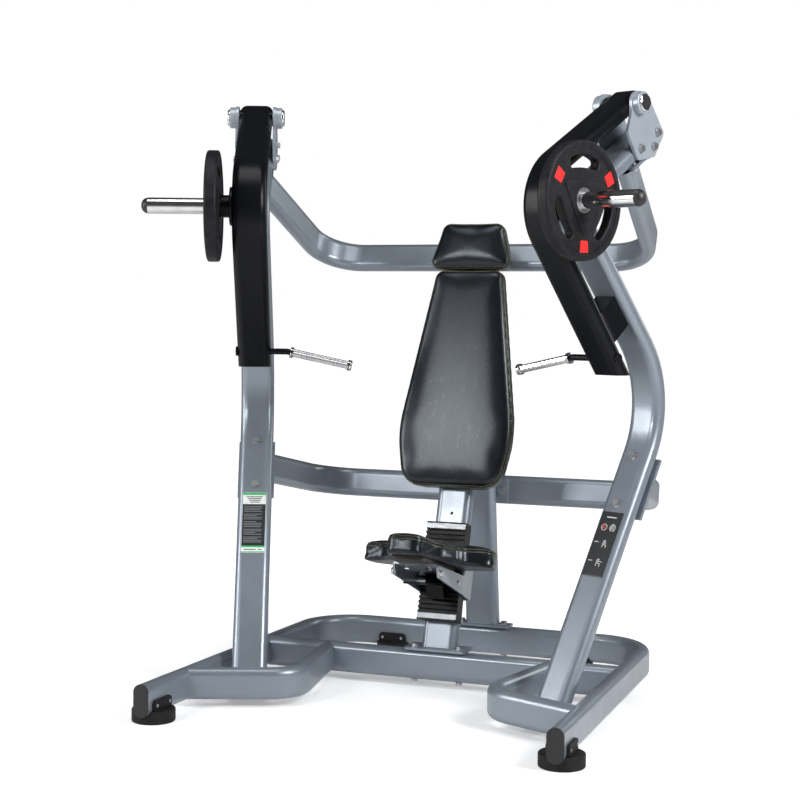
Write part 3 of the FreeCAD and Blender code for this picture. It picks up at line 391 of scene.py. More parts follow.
def rounded(corners, step=0.004):
    """A closed outline from (x, y, radius) corners, in points about a step apart."""
    points = []
    count = len(corners)
    for index in range(count):
        spot = Vector(corners[index][:2])
        radius = corners[index][2] if len(corners[index]) > 2 else 0.0
        before = (Vector(corners[index - 1][:2]) - spot).normalized()
        after = (Vector(corners[(index + 1) % count][:2]) - spot).normalized()
        if radius <= 0:
            points.append(spot)
            continue
        half = before.angle(after) / 2
        reach = radius / math.tan(half)
        centre = spot + (before + after).normalized() * (radius / math.sin(half))
        first = spot + before * reach - centre
        last = spot + after * reach - centre
        sweep = first.angle_signed(last)
        steps = max(3, int(abs(sweep) * radius / step))
        for part in range(steps + 1):
            angle = -sweep * part / steps
            turned_by = Matrix.Rotation(angle, 2)
            points.append(centre + turned_by @ first)
    even = []
    for index, spot in enumerate(points):
        following = points[(index + 1) % len(points)]
        gap = (following - spot).length
        if gap < 1e-6:
            continue
        runs = max(1, round(gap / step))
        even.extend(spot.lerp(following, part / runs) for part in range(runs))
    return even


def inset(outline, distance):
    """The outline moved in, or out where the distance is negative. The outline runs anticlockwise."""
    count = len(outline)
    moved = []
    for index, spot in enumerate(outline):
        run = outline[(index + 1) % count] - outline[index - 1]
        normal = Vector((-run.y, run.x)).normalized()
        moved.append(spot + normal * distance)
    return moved


def anticlockwise(outline):
    area = sum(a.x * b.y - b.x * a.y for a, b in zip(outline, outline[1:] + outline[:1]))
    return outline if area > 0 else outline[::-1]


def slab(name, outlines, place_at, low, high, edge, look, body):
    """A flat piece from closed outlines, the first with the others as holes, with rounded edges."""
    curve = bpy.data.curves.new(name, "CURVE")
    curve.dimensions = "2D"
    curve.fill_mode = "BOTH"
    for outline in outlines:
        spline = curve.splines.new("POLY")
        spline.points.add(len(outline) - 1)
        for point, spot in zip(spline.points, outline):
            point.co = (spot[0], spot[1], 0, 1)
        spline.use_cyclic_u = True
    curve.bevel_depth = edge
    curve.bevel_resolution = 3
    curve.offset = -edge
    curve.extrude = max((high - low) / 2 - edge, 0.00001)
    holder = put(name + "_curve", curve)
    bpy.context.view_layer.update()
    mesh = bpy.data.meshes.new_from_object(holder.evaluated_get(bpy.context.evaluated_depsgraph_get()))
    bpy.data.objects.remove(holder)
    bm = bmesh.new()
    bm.from_mesh(mesh)
    bpy.data.meshes.remove(mesh)
    bmesh.ops.remove_doubles(bm, verts=bm.verts, dist=1e-6)
    bmesh.ops.translate(bm, verts=bm.verts, vec=(0, 0, (low + high) / 2))
    bmesh.ops.transform(bm, matrix=place_at, verts=bm.verts)
    return piece_of(name, bm, look, body)


def sweep_into(bm, path, normals, radius, sides=8, closed=True):
    """Adds a round rope along the path, whose points have normals."""
    rows = []
    count = len(path)
    for index, spot in enumerate(path):
        run = (path[(index + 1) % count] - path[index - 1]).normalized()
        up = normals[index]
        side = run.cross(up).normalized()
        up = side.cross(run)
        angles = [2 * math.pi * part / sides for part in range(sides)]
        rows.append([bm.verts.new(spot + radius * (side * math.cos(a) + up * math.sin(a))) for a in angles])
    for index in range(count if closed else count - 1):
        here, after = rows[index], rows[(index + 1) % count]
        for part in range(sides):
            following = (part + 1) % sides
            bm.faces.new((here[part], here[following], after[following], after[part]))


def box_axes(node):
    """Centre, axes and half sizes of a box-shaped CAD node, with its longest side first."""
    spots = np.array([vertex.co for vertex in frame["nodes"][node].data.vertices])
    spots = np.unique(spots.round(6), axis=0)
    centre = spots.mean(0)
    _, directions = np.linalg.eigh(np.cov((spots - centre).T))
    axes = [Vector(directions[:, column]) for column in (2, 1, 0)]
    half = [max(abs(Vector(spot - centre).dot(axis)) for spot in spots) for axis in axes]
    return Vector(centre), axes, half


# ---- pads ----------------------------------------------------------------------------------------

FOAM_PRESSURE = 4.0
CLOTH_FRAMES = 20
PULL_REACH = 0.05
PULL_HEIGHT = 0.0022
STITCH_PITCH = 0.0085
STITCH_RADIUS = 0.00075
WELT_RADIUS = 0.0017


def leaning(back, height, tilt):
    """X across, Y climbing a face that leans back by the tilt, Z out of its front."""
    lean = math.radians(tilt)
    along = Vector((0, math.sin(lean), math.cos(lean)))
    return axes_matrix(Vector((0, back, height)), ACROSS, along, ACROSS.cross(along))


def lying(back, height, fall):
    """X across, Y back and down by the fall, Z up out of the face."""
    angle = math.radians(fall)
    behind = Vector((0, math.cos(angle), -math.sin(angle)))
    return axes_matrix(Vector((0, back, height)), ACROSS, behind, ACROSS.cross(behind))


def mirrored(right_half):
    return right_half + [(-corner[0], *corner[1:]) for corner in reversed(right_half)]


def pad_form(outline, depth, crown, edge, middle):
    """A closed pad in its own axes: flat behind, upright sides and a crowned front at z = 0."""
    bm = bmesh.new()
    levels = [(0.004, -depth), (0.0, -depth + 0.004)]
    side_steps = 5
    for part in range(1, side_steps + 1):
        rise = part / side_steps
        levels.append((0.0015 * math.sin(math.pi * rise), -depth + 0.004 + (depth - 0.004 - edge) * rise))
    for part in range(1, 6):
        angle = math.pi / 2 * part / 5
        levels.append((edge * (1 - math.cos(angle)), -edge + edge * math.sin(angle)))
    rows = []
    for distance, height in levels:
        rows.append([bm.verts.new((spot.x, spot.y, height)) for spot in inset(outline, distance)])
    rim = inset(outline, edge)
    fill_steps = 14
    for part in range(1, fill_steps):
        share = part / fill_steps
        height = crown * (1 - (1 - share) ** 2)
        rows.append([bm.verts.new((*spot.lerp(middle, share), height)) for spot in rim])
    for here, after in zip(rows, rows[1:]):
        for index in range(len(outline)):
            following = (index + 1) % len(outline)
            bm.faces.new((here[index], here[following], after[following], after[index]))
    for row, height in ((rows[0], -depth), (rows[-1], crown)):
        centre = bm.verts.new((*middle, height))
        for index in range(len(outline)):
            bm.faces.new((row[index], row[(index + 1) % len(outline)], centre))
    bmesh.ops.recalc_face_normals(bm, faces=bm.faces)
    return bm


def settle(piece):
    """Replaces the piece's mesh with what its modifiers make of it."""
    evaluated = piece.evaluated_get(bpy.context.evaluated_depsgraph_get())
    mesh = bpy.data.meshes.new_from_object(evaluated)
    piece.modifiers.clear()
    old = piece.data
    piece.data = mesh
    bpy.data.meshes.remove(old)


def evened(piece, move, passes):
    """The vertices' shifts, evened out between neighbours so that small puckers go."""
    ends = np.array([edge.vertices[:] for edge in piece.data.edges])
    counts = np.bincount(ends.ravel(), minlength=len(move))[:, None]
    for _ in range(passes):
        total = np.zeros_like(move)
        np.add.at(total, ends[:, 0], move[ends[:, 1]])
        np.add.at(total, ends[:, 1], move[ends[:, 0]])
        move = (move + total / counts) / 2
    return move


def inflate(piece, depth, voxel, cap, calm):
    """Fills the cover from inside, as foam does, with the pad's back held by its board.

    No vertex moves further than the cap. Calm is the number of passes that even the shifts out.
    """
    remesh = piece.modifiers.new("remesh", "REMESH")
    remesh.mode = "VOXEL"
    remesh.voxel_size = voxel
    smooth = piece.modifiers.new("smooth", "SMOOTH")
    smooth.iterations = 5
    settle(piece)
    rest = np.array([vertex.co for vertex in piece.data.vertices])
    held = piece.vertex_groups.new(name="held")
    held.add([i for i, spot in enumerate(rest) if spot[2] < 0.003 - depth], 1.0, "REPLACE")
    cloth = piece.modifiers.new("cloth", "CLOTH")
    cloth.settings.vertex_group_mass = "held"
    cloth.settings.use_pressure = True
    cloth.settings.uniform_pressure_force = FOAM_PRESSURE
    cloth.settings.effector_weights.gravity = 0
    cloth.settings.tension_stiffness = 18
    cloth.settings.compression_stiffness = 12
    cloth.settings.bending_stiffness = 0.6
    cloth.collision_settings.use_collision = False
    cloth.point_cache.frame_start = 1
    cloth.point_cache.frame_end = CLOTH_FRAMES
    for step in range(1, CLOTH_FRAMES + 1):
        bpy.context.scene.frame_set(step)
    settle(piece)
    bpy.context.scene.frame_set(1)
    blown = np.array([vertex.co for vertex in piece.data.vertices])
    move = blown - rest
    length = np.linalg.norm(move, axis=1)
    move *= (np.minimum(length, cap) / np.maximum(length, 1e-9))[:, None]
    calmed = rest + evened(piece, move, calm)
    piece.data.vertices.foreach_set("co", calmed.astype(np.float32).ravel())
    finer = piece.modifiers.new("finer", "SUBSURF")
    finer.levels = 1
    settle(piece)


def surface(piece):
    bm = bmesh.new()
    bm.from_mesh(piece.data)
    tree = BVHTree.FromBMesh(bm)
    bm.free()
    return tree


def seam_line(piece, outline, height):
    """Points and normals of a line round the pad at a height, on its surface."""
    tree = surface(piece)
    spots = []
    for spot in outline:
        hit = tree.find_nearest(Vector((spot.x, spot.y, height)))
        spots.append((hit[0], hit[1]))
    return spots


def sink_seam(piece, line, depth, width):
    """Draws the cover in along a seam."""
    tree = KDTree(len(line))
    for index, (spot, _) in enumerate(line):
        tree.insert(spot, index)
    tree.balance()
    for vertex in piece.data.vertices:
        _, index, gap = tree.find(vertex.co)
        if gap < 3 * width:
            vertex.co -= line[index][1] * depth * math.exp(-((gap / width) ** 2))


def pull_marks(piece, outline, depth, strength):
    """Soft wrinkles that fan out from the front edge, as strong as the caller says for each spot of it."""
    tree = KDTree(len(outline))
    for index, spot in enumerate(outline):
        tree.insert((spot.x, spot.y, 0), index)
    tree.balance()
    normals = [vertex.normal.copy() for vertex in piece.data.vertices]
    pitch = sum((a - b).length for a, b in zip(outline, outline[1:])) / len(outline)
    for vertex, normal in zip(piece.data.vertices, normals):
        if vertex.co.z < 0.004 - depth:
            continue
        _, index, gap = tree.find((vertex.co.x, vertex.co.y, 0))
        if gap > PULL_REACH:
            continue
        along = index * pitch
        broad = noise.noise(Vector((along * 38, gap * 12, 0.4)))
        fine = noise.noise(Vector((along * 95, gap * 20, 2.2)))
        wave = broad + 0.5 * fine
        vertex.co += normal * wave * PULL_HEIGHT * strength(outline[index]) * (1 - gap / PULL_REACH)


def stitch_into(bm, spot, run, up):
    """Adds one stitch, a little spindle of thread half sunk in the cover."""
    side = run.cross(up).normalized()
    length = 0.62 * STITCH_PITCH
    angles = [math.pi / 3 * part for part in range(6)]
    rings = []
    for along, share in ((-0.5, 0.35), (-0.25, 0.9), (0.25, 0.9), (0.5, 0.35)):
        middle = spot + run * along * length + up * STITCH_RADIUS * 0.35
        radius = STITCH_RADIUS * share
        spots = [middle + radius * (side * math.cos(a) + up * math.sin(a)) for a in angles]
        rings.append([bm.verts.new(around) for around in spots])
    for here, after in zip(rings, rings[1:]):
        for part in range(6):
            following = (part + 1) % 6
            bm.faces.new((here[part], here[following], after[following], after[part]))
    bm.faces.new(rings[0][::-1])
    bm.faces.new(rings[-1])


def stitches(name, lines, place_at, body):
    """Short thread stitches, evenly spaced along the lines."""
    bm = bmesh.new()
    for line in lines:
        gaps = [(line[(i + 1) % len(line)][0] - line[i][0]).length for i in range(len(line))]
        total = sum(gaps)
        count = int(total / STITCH_PITCH)
        travelled, index = 0.0, 0
        for number in range(count):
            target = total * number / count
            while travelled + gaps[index] < target:
                travelled += gaps[index]
                index += 1
            share = (target - travelled) / max(gaps[index], 1e-9)
            start, end = line[index], line[(index + 1) % len(line)]
            run = (end[0] - start[0]).normalized()
            stitch_into(bm, start[0].lerp(end[0], share), run, start[1])
    bmesh.ops.transform(bm, matrix=place_at, verts=bm.verts)
    return piece_of(name, bm, THREAD, body)


def piping(name, line, place_at, body):
    """A raised welt along a seam, half sunk in the cover."""
    bm = bmesh.new()
    path = [spot + normal * WELT_RADIUS * 0.25 for spot, normal in line]
    sweep_into(bm, path, [normal for _, normal in line], WELT_RADIUS)
    bmesh.ops.transform(bm, matrix=place_at, verts=bm.verts)
    return piece_of(name, bm, LEATHER, body)


def cushion(
        name, node, corners, place_at, body, *,
        depth, crown, edge, middle, voxel, cap, calm, strength):
    """A stuffed leather pad that stands for a CAD pad, with its welted seam and two rows of stitches."""
    outline = anticlockwise(rounded(corners))
    shrunk = inset(outline, 0.2 * cap)
    piece = put_mesh(name, pad_form(shrunk, depth, crown, edge, Vector(middle)))
    inflate(piece, depth, voxel, cap, calm)
    pull_marks(piece, outline, depth, strength)
    seam_height = -0.62 * edge
    front = seam_line(piece, inset(outline, 0.10 * edge), seam_height)
    sink_seam(piece, front, 0.0022, 0.0045)
    front = seam_line(piece, inset(outline, 0.10 * edge), seam_height)
    upper = seam_line(piece, inset(outline, 0.42 * edge), seam_height + 0.0045)
    lower = seam_line(piece, outline, seam_height - 0.0055)
    rear = seam_line(piece, outline, 0.006 - depth)
    sink_seam(piece, rear, 0.0014, 0.004)
    piece.data.transform(place_at)
    piece.data.update()
    dress(piece, LEATHER)
    piece.data.shade_smooth()
    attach(piece, body)
    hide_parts(node)
    piping(name + "_welt", front, place_at, body)
    stitches(name + "_stitches", [upper, lower], place_at, body)
    return piece


PAD_TILT = 14.2
SEAT_FALL = 16.0
BACK_CORNERS = mirrored([(0.175, 0.012, 0.078), (0.211, 0.200, 0.400), (0.123, 0.769, 0.036)])
HEAD_CORNERS = mirrored([(0.152, -0.002, 0.030), (0.107, 0.164, 0.032)])
SEAT_CORNERS = mirrored([
    (0.110, 0.372, 0.040), (0.216, 0.322, 0.036), (0.225, 0.226, 0.026),
    (0.146, 0.214, 0.060), (0.074, 0.130, 0.090), (0.062, 0.0, 0.040)])
cushion(
    "back_cushion", "back_pad", BACK_CORNERS, leaning(0.227, 0.640, PAD_TILT), "frame",
    depth=0.050, crown=0.004, edge=0.020, middle=(0.0, 0.36), voxel=0.006, cap=0.005, calm=30,
    strength=lambda spot: 0.03)
cushion(
    "head_cushion", "headrest_pad", HEAD_CORNERS, leaning(0.4155, 1.3848, PAD_TILT), "frame",
    depth=0.048, crown=0.005, edge=0.018, middle=(0.0, 0.078), voxel=0.005, cap=0.005, calm=30,
    strength=lambda spot: 0.04)
cushion(
    "seat_cushion", "seat_pad", SEAT_CORNERS, lying(-0.180, 0.552, SEAT_FALL), "seat",
    depth=0.064, crown=0.003, edge=0.016, middle=(0.0, 0.262), voxel=0.005, cap=0.006, calm=16,
    strength=lambda spot: 0.03 + 1.1 * math.exp(-(((spot.y - 0.18) / 0.03) ** 2)))


# ---- weight plates -------------------------------------------------------------------------------

PLATE_FACE = 0.0375 / 2
PLATE_WEB = PLATE_FACE - 0.0022
PLATE_BORE = 0.0386


def polar(radius, angle):
    return Vector((radius * math.cos(math.radians(angle)), radius * math.sin(math.radians(angle))))


def circle_outline(radius, steps=128):
    return [polar(radius, 360 * step / steps) for step in range(steps)]


def turned_outline(outline, angle):
    turn = Matrix.Rotation(math.radians(angle), 2)
    return [turn @ Vector(spot) for spot in outline]


def window_outline():
    """A window of the plate, centred on +Y: a bulged inner edge, an outer arc and round ends."""
    outer = [polar(0.131, 90 - 24 + 48 * step / 12) for step in range(13)]
    corners = [(-0.061, 0.088, 0.011), (0.0, 0.095, 0.30), (0.061, 0.088, 0.011)]
    corners.append((outer[0].x + 0.012, outer[0].y - 0.003, 0.012))
    corners += [(spot.x, spot.y) for spot in outer]
    corners.append((outer[-1].x - 0.012, outer[-1].y - 0.003, 0.012))
    return rounded(corners, 0.003)


def plate_rim(node, at, radius, body):
    """The raised rim, with its corners rounded."""
    corner = 0.0065
    rim = [(radius - 0.020, -PLATE_FACE), (radius - corner, -PLATE_FACE)]
    rim += arc((radius - corner, -PLATE_FACE + corner), corner, -90, 0, 6)[1:]
    rim += arc((radius - corner, PLATE_FACE - corner), corner, 0, 90, 6)
    inside = radius - 0.0225
    rim += [(radius - 0.020, PLATE_FACE), (inside, PLATE_WEB - 0.001), (inside, 0.001 - PLATE_WEB)]
    turned(node + "_rim", rim, at, PLATE_RUBBER, body, 128)


def plate_hubs(node, at, body):
    """The raised triangle round the bore, on each face."""
    triangle = rounded([(*polar(0.112, 270 + 120 * corner), 0.012) for corner in range(3)], 0.003)
    hub = [triangle, circle_outline(PLATE_BORE, 64)]
    proud = PLATE_FACE + 0.0006
    for name, near, far in (("outer", PLATE_WEB - 0.002, proud), ("inner", -proud, 0.002 - PLATE_WEB)):
        slab("%s_hub_%s" % (node, name), hub, at, near, far, 0.0013, PLATE_RUBBER, body)


def plate_patches(node, at, body):
    """Three plain red patches on the outer face."""
    inner, outer = 0.114, 0.1485
    right_half = [(0.0165, inner, 0.003), (0.0195, outer, 0.003)]
    patch = rounded(mirrored(right_half), 0.003)
    for third in range(3):
        mark = turned_outline(patch, 180 + 120 * third)
        low, high = PLATE_WEB - 0.001, PLATE_WEB + 0.0009
        slab("%s_patch_%d" % (node, third), [mark], at, low, high, 0.0005, RED, body)


def plate_ring(insert, at, body):
    """The steel ring in the bore."""
    bore = 0.02512
    ring = [(bore, 0.001 - PLATE_FACE), (0.036, 0.001 - PLATE_FACE), (0.038, 0.003 - PLATE_FACE)]
    ring += [(0.038, PLATE_FACE - 0.003), (0.036, PLATE_FACE - 0.001), (bore + 0.006, PLATE_FACE - 0.001)]
    ring += [(bore + 0.0045, PLATE_FACE - 0.0024), (bore, PLATE_FACE - 0.0024)]
    made = turned(insert + "_ring", ring, at, DARK_STEEL, body, 96)
    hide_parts(insert)


def weight_plate(side):
    node = "weight_plate_" + side
    body = "plate_" + side
    low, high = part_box(node)
    at = axis_matrix((low + high) / 2, JOINTS["plate_load_" + side]["axis"])
    radius = (high.z - low.z) / 2
    windows = [turned_outline(window_outline(), 120 * third) for third in range(3)]
    outlines = [circle_outline(radius - 0.0008), *windows, circle_outline(PLATE_BORE)]
    disc = slab(node + "_rubber", outlines, at, -PLATE_WEB, PLATE_WEB, 0.006, PLATE_RUBBER, body)
    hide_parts(node)
    plate_rim(node, at, radius, body)
    plate_hubs(node, at, body)
    plate_patches(node, at, body)
    plate_ring("plate_insert_" + side, at, body)


# ---- handles, sleeves and caps -------------------------------------------------------------------

def hand_grip(side, joint, at):
    """A chromed grip with flutes along it, dotted at even steps."""
    start, end = 0.0224, 0.2036
    radius, bore = 0.0135, 0.01006
    profile = [(bore, start), (radius - 0.001, start)]
    bands = 60
    for part in range(bands + 1):
        profile.append((radius - 0.0002, start + 0.001 + (end - start - 0.002) * part / bands))
    profile += [(radius - 0.001, end), (bore, end)]

    def flutes(angle, reach, height):
        if reach < radius - 0.0005:
            return 0.0
        cut = 0.5 + 0.5 * math.cos(16 * angle)
        dots = 0.5 + 0.5 * math.cos(2 * math.pi * (height - start) / 0.0062)
        return -0.0011 * cut - 0.0004 * dots * (1 - cut)

    grip = turned("fluted_grip_" + side, profile, at, CHROME, joint["child"], 128, flutes)
    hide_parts("grip_" + side)


def grip_rings(side, joint, at):
    """The grooved rings that stand at the grip's ends and don't turn with it."""
    arm = joint["parent"]
    inner = [(0.0099, 0.0112), (0.0150, 0.0112), (0.0176, 0.0130), (0.0178, 0.0162), (0.0160, 0.0175)]
    inner += [(0.0178, 0.0190), (0.0178, 0.0210), (0.0165, 0.0221), (0.0099, 0.0221)]
    turned("grip_ring_inner_" + side, inner, at, CHROME, arm)
    outer = [(0.0, 0.2039), (0.0165, 0.2039), (0.0178, 0.2052), (0.0178, 0.2075), (0.0160, 0.2090)]
    outer += [(0.0178, 0.2106), (0.0178, 0.2140)] + arc((0.0138, 0.2140), 0.004, 0, 80, 5) + [(0.0, 0.2184)]
    turned("grip_ring_outer_" + side, outer, at, CHROME, arm)


def sleeve_dome(side):
    """The moulded cap pushed on to the end of the weight sleeve."""
    low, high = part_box("sleeve_cap_" + side)
    axis = Vector(JOINTS["plate_load_" + side]["axis"])
    at = axis_matrix((low + high) / 2 - axis * 0.0125, axis)
    profile = [(0.0, 0.0), (0.0247, 0.0), (0.0247, 0.0035), (0.0241, 0.0042)]
    angles = [math.pi / 2 * part / 12 for part in range(12)]
    profile += [(0.0241 * math.cos(a), 0.0050 + 0.0200 * math.sin(a)) for a in angles]
    profile.append((0.0, 0.0250))
    cap = turned("sleeve_dome_" + side, profile, at, PLASTIC, "arm_" + side, 72)
    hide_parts("sleeve_cap_" + side)


# ---- placards ------------------------------------------------------------------------------------

FILM = 0.0002
FILM_EDGE = 0.00004
BAR_LEVEL = 0.00028
MARGIN = 0.001


def placard_place(side):
    """The placard's front face: X across it, Y up it and Z out of it. Also its half width and height."""
    centre, axes, half = box_axes("placard_" + side)
    climb = axes[0] if axes[0].z > 0 else -axes[0]
    normal = axes[2] if axes[2].y < 0 else -axes[2]
    return axes_matrix(centre + normal * half[2], climb.cross(normal), climb, normal), half[1], half[0]


def film(name, outlines, at, low, look):
    """A printed film from closed outlines, standing on the low level."""
    return slab(name, outlines, at, low, low + FILM, FILM_EDGE, look, "frame")


def print_block(name, at, left, bottom, right, top, look, corner=0.0):
    """A printed oblong area of a placard."""
    spots = ((left, bottom), (right, bottom), (right, top), (left, top))
    outline = rounded([(*spot, corner) for spot in spots], 0.01)
    return film(name, [outline], at, 0.0, look)


def lines_into(name, at, rows, look):
    """Plain bars in place of lines of print. Each row is (left, right, height, thickness)."""
    bm = bmesh.new()
    for left, right, height, thickness in rows:
        spots = [(left, height), (right, height), (right, height + thickness), (left, height + thickness)]
        bm.faces.new([bm.verts.new(at @ Vector((x, y, BAR_LEVEL))) for x, y in spots])
    made = bmesh.ops.extrude_face_region(bm, geom=bm.faces[:])
    lifted = [item for item in made["geom"] if isinstance(item, bmesh.types.BMVert)]
    normal = at.to_3x3() @ UP
    bmesh.ops.translate(bm, verts=lifted, vec=normal * -FILM)
    return piece_of(name, bm, look, "frame")


def left_placard():
    """Green and white bands round a black panel with rows of plain grey bars."""
    at, wide, tall = placard_place("left")
    edge = wide - MARGIN
    print_block("notice_white", at, -edge, -tall + MARGIN, edge, tall - MARGIN, WHITE)
    lift = at @ Matrix.Translation((0, 0, FILM))
    print_block("notice_green_top", lift, -edge, tall - 0.009, edge, tall - MARGIN, GREEN)
    print_block("notice_green_foot", lift, -edge, -tall + 0.018, edge, -tall + 0.024, GREEN)
    print_block("notice_green_base", lift, -edge, -tall + MARGIN, edge, -tall + 0.004, GREEN)
    print_block("notice_panel", lift, -edge, -tall + 0.024, edge, tall - 0.042, INK)
    rows = []
    height = tall - 0.052
    number = 0
    while height > -tall + 0.032:
        reach = 0.9 - 0.32 * abs(math.sin(1.7 * number)) * (number % 3 == 2)
        rows.append((-edge + 0.005, -edge + 0.005 + (2 * edge - 0.010) * reach, height, 0.0022))
        height -= 0.0098 if number % 4 == 3 else 0.0058
        number += 1
    lines_into("notice_bars", lift, rows, GREY_INK)
    marks = []
    for row in range(4):
        left, right = -0.7 * edge + 0.004 * row, 0.7 * edge - 0.003 * row
        marks.append((left, right, tall - 0.017 - 0.0064 * row, 0.0032))
    marks.append((-0.8 * edge, 0.25 * edge, -tall + 0.009, 0.0036))
    marks.append((0.4 * edge, 0.8 * edge, -tall + 0.0085, 0.0030))
    lines_into("notice_header_bars", at, marks, DARK_INK)


def stick_figure(at, name, x, y, reach, look):
    """A plain sign of a seated person pushing: a disc for the head and bars for the limbs."""
    head = [Vector((x, y + 0.0105)) + spot for spot in circle_outline(0.0026, 16)]
    film(name + "_head", [head], at, FILM, look)
    bars = [
        ((x, y + 0.007), (x - 0.001, y - 0.003)), ((x - 0.001, y - 0.003), (x + 0.008, y - 0.003)),
        ((x + 0.008, y - 0.003), (x + 0.008, y - 0.011)), ((x, y + 0.005), (x + reach, y + 0.003)),
        ((x - 0.005, y + 0.009), (x - 0.005, y - 0.010))]
    for number, (start, end) in enumerate(bars):
        run = (Vector(end) - Vector(start)).normalized() * 0.0011
        side = Vector((-run.y, run.x))
        start, end = Vector(start) - run, Vector(end) + run
        outline = [start - side, end - side, end + side, start + side]
        film("%s_bar_%d" % (name, number), [outline], at, FILM, look)


def right_placard():
    """A black panel with a short white bar, two round signs and two plain figures."""
    at, wide, tall = placard_place("right")
    edge = wide - MARGIN
    print_block("sign_panel", at, -edge, -tall + MARGIN, edge, tall - MARGIN, INK, 0.004)
    lines = [(-0.45 * edge, 0.5 * edge, tall - 0.020, 0.0036)]
    lines += [(-0.85 * edge, -0.45 * edge, 0.004, 0.0024), (-0.85 * edge, -0.45 * edge, -0.058, 0.0024)]
    lines_into("sign_bars", at, lines, PALE_INK)
    level = tall - 0.052
    for number, (x, look) in enumerate(((-0.015, ORANGE_INK), (0.017, PALE_INK))):
        ring = [[Vector((x, level)) + spot for spot in circle_outline(radius, 40)] for radius in (0.011, 0.009)]
        film("sign_ring_%d" % number, ring, at, FILM, PALE_INK)
        stick_figure(at, "sign_mark_%d" % number, x - 0.001, level, 0.006, look)
    stick_figure(at, "sign_start", 0.006, 0.000, 0.006, PALE_INK)
    stick_figure(at, "sign_finish", 0.006, -0.062, 0.014, PALE_INK)


for side in SIDES:
    weight_plate(side)
    turning = JOINTS["grip_turn_" + side]
    grip_place = axis_matrix(turning["pos_m"], turning["axis"])
    hand_grip(side, turning, grip_place)
    grip_rings(side, turning, grip_place)
    sleeve_dome(side)
left_placard()
right_placard()


# ---- materials of the CAD nodes ------------------------------------------------------------------

RACK_TILT = math.radians(17)
rack_front = Vector((0, -math.cos(RACK_TILT), math.sin(RACK_TILT)))
rack_climb = Vector((0, math.sin(RACK_TILT), math.cos(RACK_TILT)))
rack_spots = [vertex.co for vertex in frame["nodes"]["seat_rack"].data.vertices]
rack_levels = [rack_climb.dot(spot) for spot in rack_spots]
rack_depth = max(rack_front.dot(spot) for spot in rack_spots)
RACK = rack_look(rack_front, rack_depth, rack_climb, min(rack_levels), max(rack_levels))
KINDS_BY_LOOK = (
    (BLACK, ("arm_tube", "handle_bar", "sleeve_collar", "stop_blocks", "latch_lever")),
    (CHROME, ("weight_sleeve", "axle_caps", "grip")),
    (DARK_STEEL, ("plate_insert", "arm_axles", "arm_bearings")),
    (PLATE_RUBBER, ("weight_plate",)),
    (FOOT_RUBBER, ("rubber_feet", "stop_bumpers")),
    (PLASTIC, ("tube_end_caps", "arm_cap", "sleeve_cap")),
    (LINER, ("carriage_liners",)),
    (STEEL, ("foot_screws", "frame_bolts", "base_bolts", "seat_screws", "latch_pin", "latch_spring")),
    (RACK, ("seat_rack",)),
    (BOARD, ("pad_boards", "seat_board")),
    (WHITE, ("placard_left",)),
    (INK, ("placard_right",)),
    (PALE, ("pivot_brackets", "pivot_bosses")),
    (LEATHER, ("back_pad", "headrest_pad", "seat_pad")),
)
NODE_LOOKS = {kind: look for look, kinds in KINDS_BY_LOOK for kind in kinds}
CUT_PLATES = (
    "pivot_brackets", "upright_foot_plates", "crossbar_flanges", "post_flanges", "column_bracket", "seat_rack",
    "seat_carriage", "stop_blocks", "latch_lever")
for name, cad_node in frame["nodes"].items():
    kind = next((kind for kind in NODE_LOOKS if name.startswith(kind)), None)
    look = NODE_LOOKS[kind] if kind else SILVER
    for material_slot in cad_node.material_slots:
        material_slot.material = look
    if name in CUT_PLATES:
        bevel = cad_node.modifiers.new("eased_edges", "BEVEL")
        bevel.width = 0.0012
        bevel.segments = 2
        bevel.limit_method = "ANGLE"
        bevel.angle_limit = math.radians(50)


# ---- floor, light and camera ---------------------------------------------------------------------

ROOM_LIGHT = 0.07
UNSEEN_GLOW = 0.18


def studio_floor():
    """A pale floor that brightens into the white backdrop away from the machine.

    The camera sees its full glow. The machine gets only a little of it, so that dark paint keeps its depth.
    """
    bm = bmesh.new()
    bmesh.ops.create_circle(bm, cap_ends=True, segments=96, radius=60)
    floor = put_mesh("floor", bm)
    look, shader = new_look("pale_floor", Specular_IOR_Level=0.2, Roughness=0.7)
    shader.inputs["Emission Color"].default_value = shade(1, 1, 1)
    clouds = ramp(look, grain(look, 0.8, 4), 0.3, 0.7)
    tint(look, shader, clouds, shade(0.90, 0.90, 0.90), shade(0.94, 0.94, 0.94))
    where = add(look, "TexCoord").outputs["Object"]
    distance = add(look, "VectorMath", {"operation": "LENGTH"}, i0=where).outputs["Value"]
    seen = add(look, "LightPath").outputs["Is Camera Ray"]
    far_glow = ramp(look, distance, 0.6, 2.4, 0.30, 1.0)
    share = ramp(look, seen, 0, 1, UNSEEN_GLOW, 1.0)
    link(look, math_node(look, "MULTIPLY", far_glow, share), shader.inputs["Emission Strength"])
    floor.data.materials.append(look)


def softbox(name, place_at, target, width, height, power):
    light = bpy.data.lights.new(name, "AREA")
    light.shape = "RECTANGLE"
    light.size = width
    light.size_y = height
    light.energy = power
    holder = put(name, light)
    holder.location = place_at
    holder.rotation_mode = "QUATERNION"
    holder.rotation_quaternion = (Vector(target) - Vector(place_at)).to_track_quat("-Z", "Y")


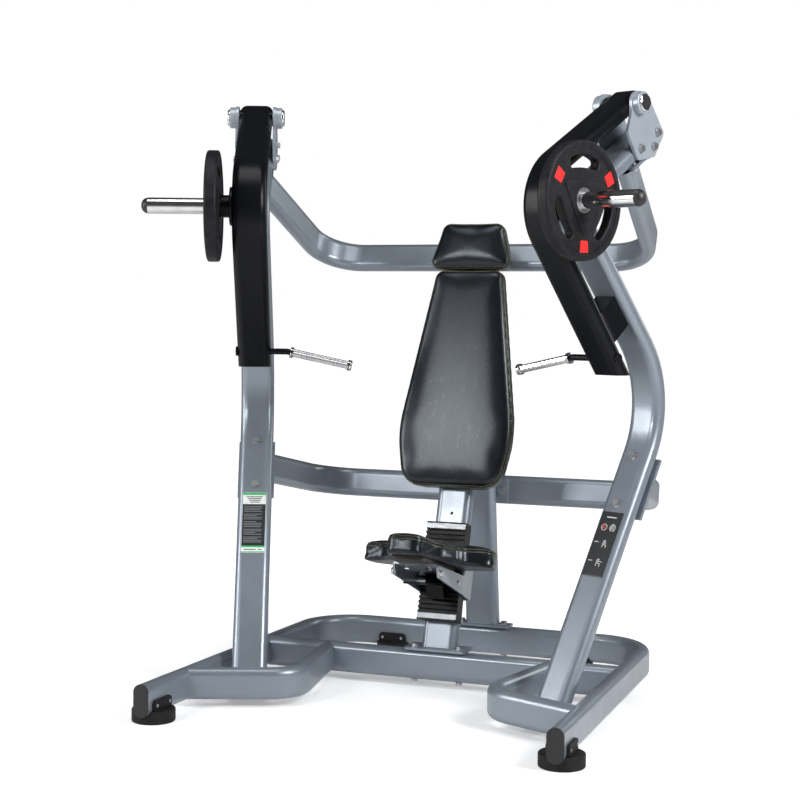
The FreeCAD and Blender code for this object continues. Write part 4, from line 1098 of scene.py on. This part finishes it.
def studio_world():
    """A white backdrop for the camera, and a dim room for everything else."""
    world = bpy.data.worlds.new("studio")
    world.use_nodes = True
    tree = world.node_tree
    seen = tree.nodes.new("ShaderNodeLightPath").outputs["Is Camera Ray"]
    room = tree.nodes["Background"]
    room.inputs["Color"].default_value = shade(0.92, 0.96, 1.0)
    room.inputs["Strength"].default_value = ROOM_LIGHT
    backdrop = tree.nodes.new("ShaderNodeBackground")
    backdrop.inputs["Color"].default_value = shade(1, 1, 1)
    chosen = tree.nodes.new("ShaderNodeMixShader")
    tree.links.new(seen, chosen.inputs["Fac"])
    tree.links.new(room.outputs[0], chosen.inputs[1])
    tree.links.new(backdrop.outputs[0], chosen.inputs[2])
    tree.links.new(chosen.outputs[0], tree.nodes["World Output"].inputs["Surface"])
    bpy.context.scene.world = world
    bpy.context.scene.view_settings.view_transform = "Standard"


def camera():
    """In front and to the viewer's right of the middle, a little above the handles, looking slightly down."""
    yaw, pitch, roll = math.radians(21.25), math.radians(-3.23), math.radians(0.52)
    ahead = Vector((-math.sin(yaw) * math.cos(pitch), math.cos(yaw) * math.cos(pitch), math.sin(pitch)))
    level = Vector((math.cos(yaw), math.sin(yaw), 0))
    upright = level.cross(ahead)
    right = level * math.cos(roll) + upright * math.sin(roll)
    up = upright * math.cos(roll) - level * math.sin(roll)
    data = bpy.data.cameras.new("camera")
    data.sensor_width = 36
    data.lens = 74.3
    data.clip_end = 200
    holder = put("camera", data)
    holder.matrix_world = axes_matrix(Vector((1.828, -4.917, 1.250)), right, up, -ahead)
    bpy.context.scene.camera = holder


studio_floor()
studio_world()
softbox("key", (4.2, -1.2, 3.2), (0.3, 0, 1.4), 1.4, 2.2, 210)
softbox("fill", (-4.4, -2.6, 2.2), (0, 0, 1.0), 1.2, 2.6, 115)
softbox("front", (-2.15, -5.2, 3.12), (0, 0, 0.8), 1.3, 0.70, 100)
softbox("overhead", (0.0, -1.0, 4.2), (0, -0.4, 0.4), 2.0, 1.4, 32)
softbox("rim", (2.6, 3.6, 2.6), (0, 0, 1.1), 1.2, 2.6, 30)
camera()
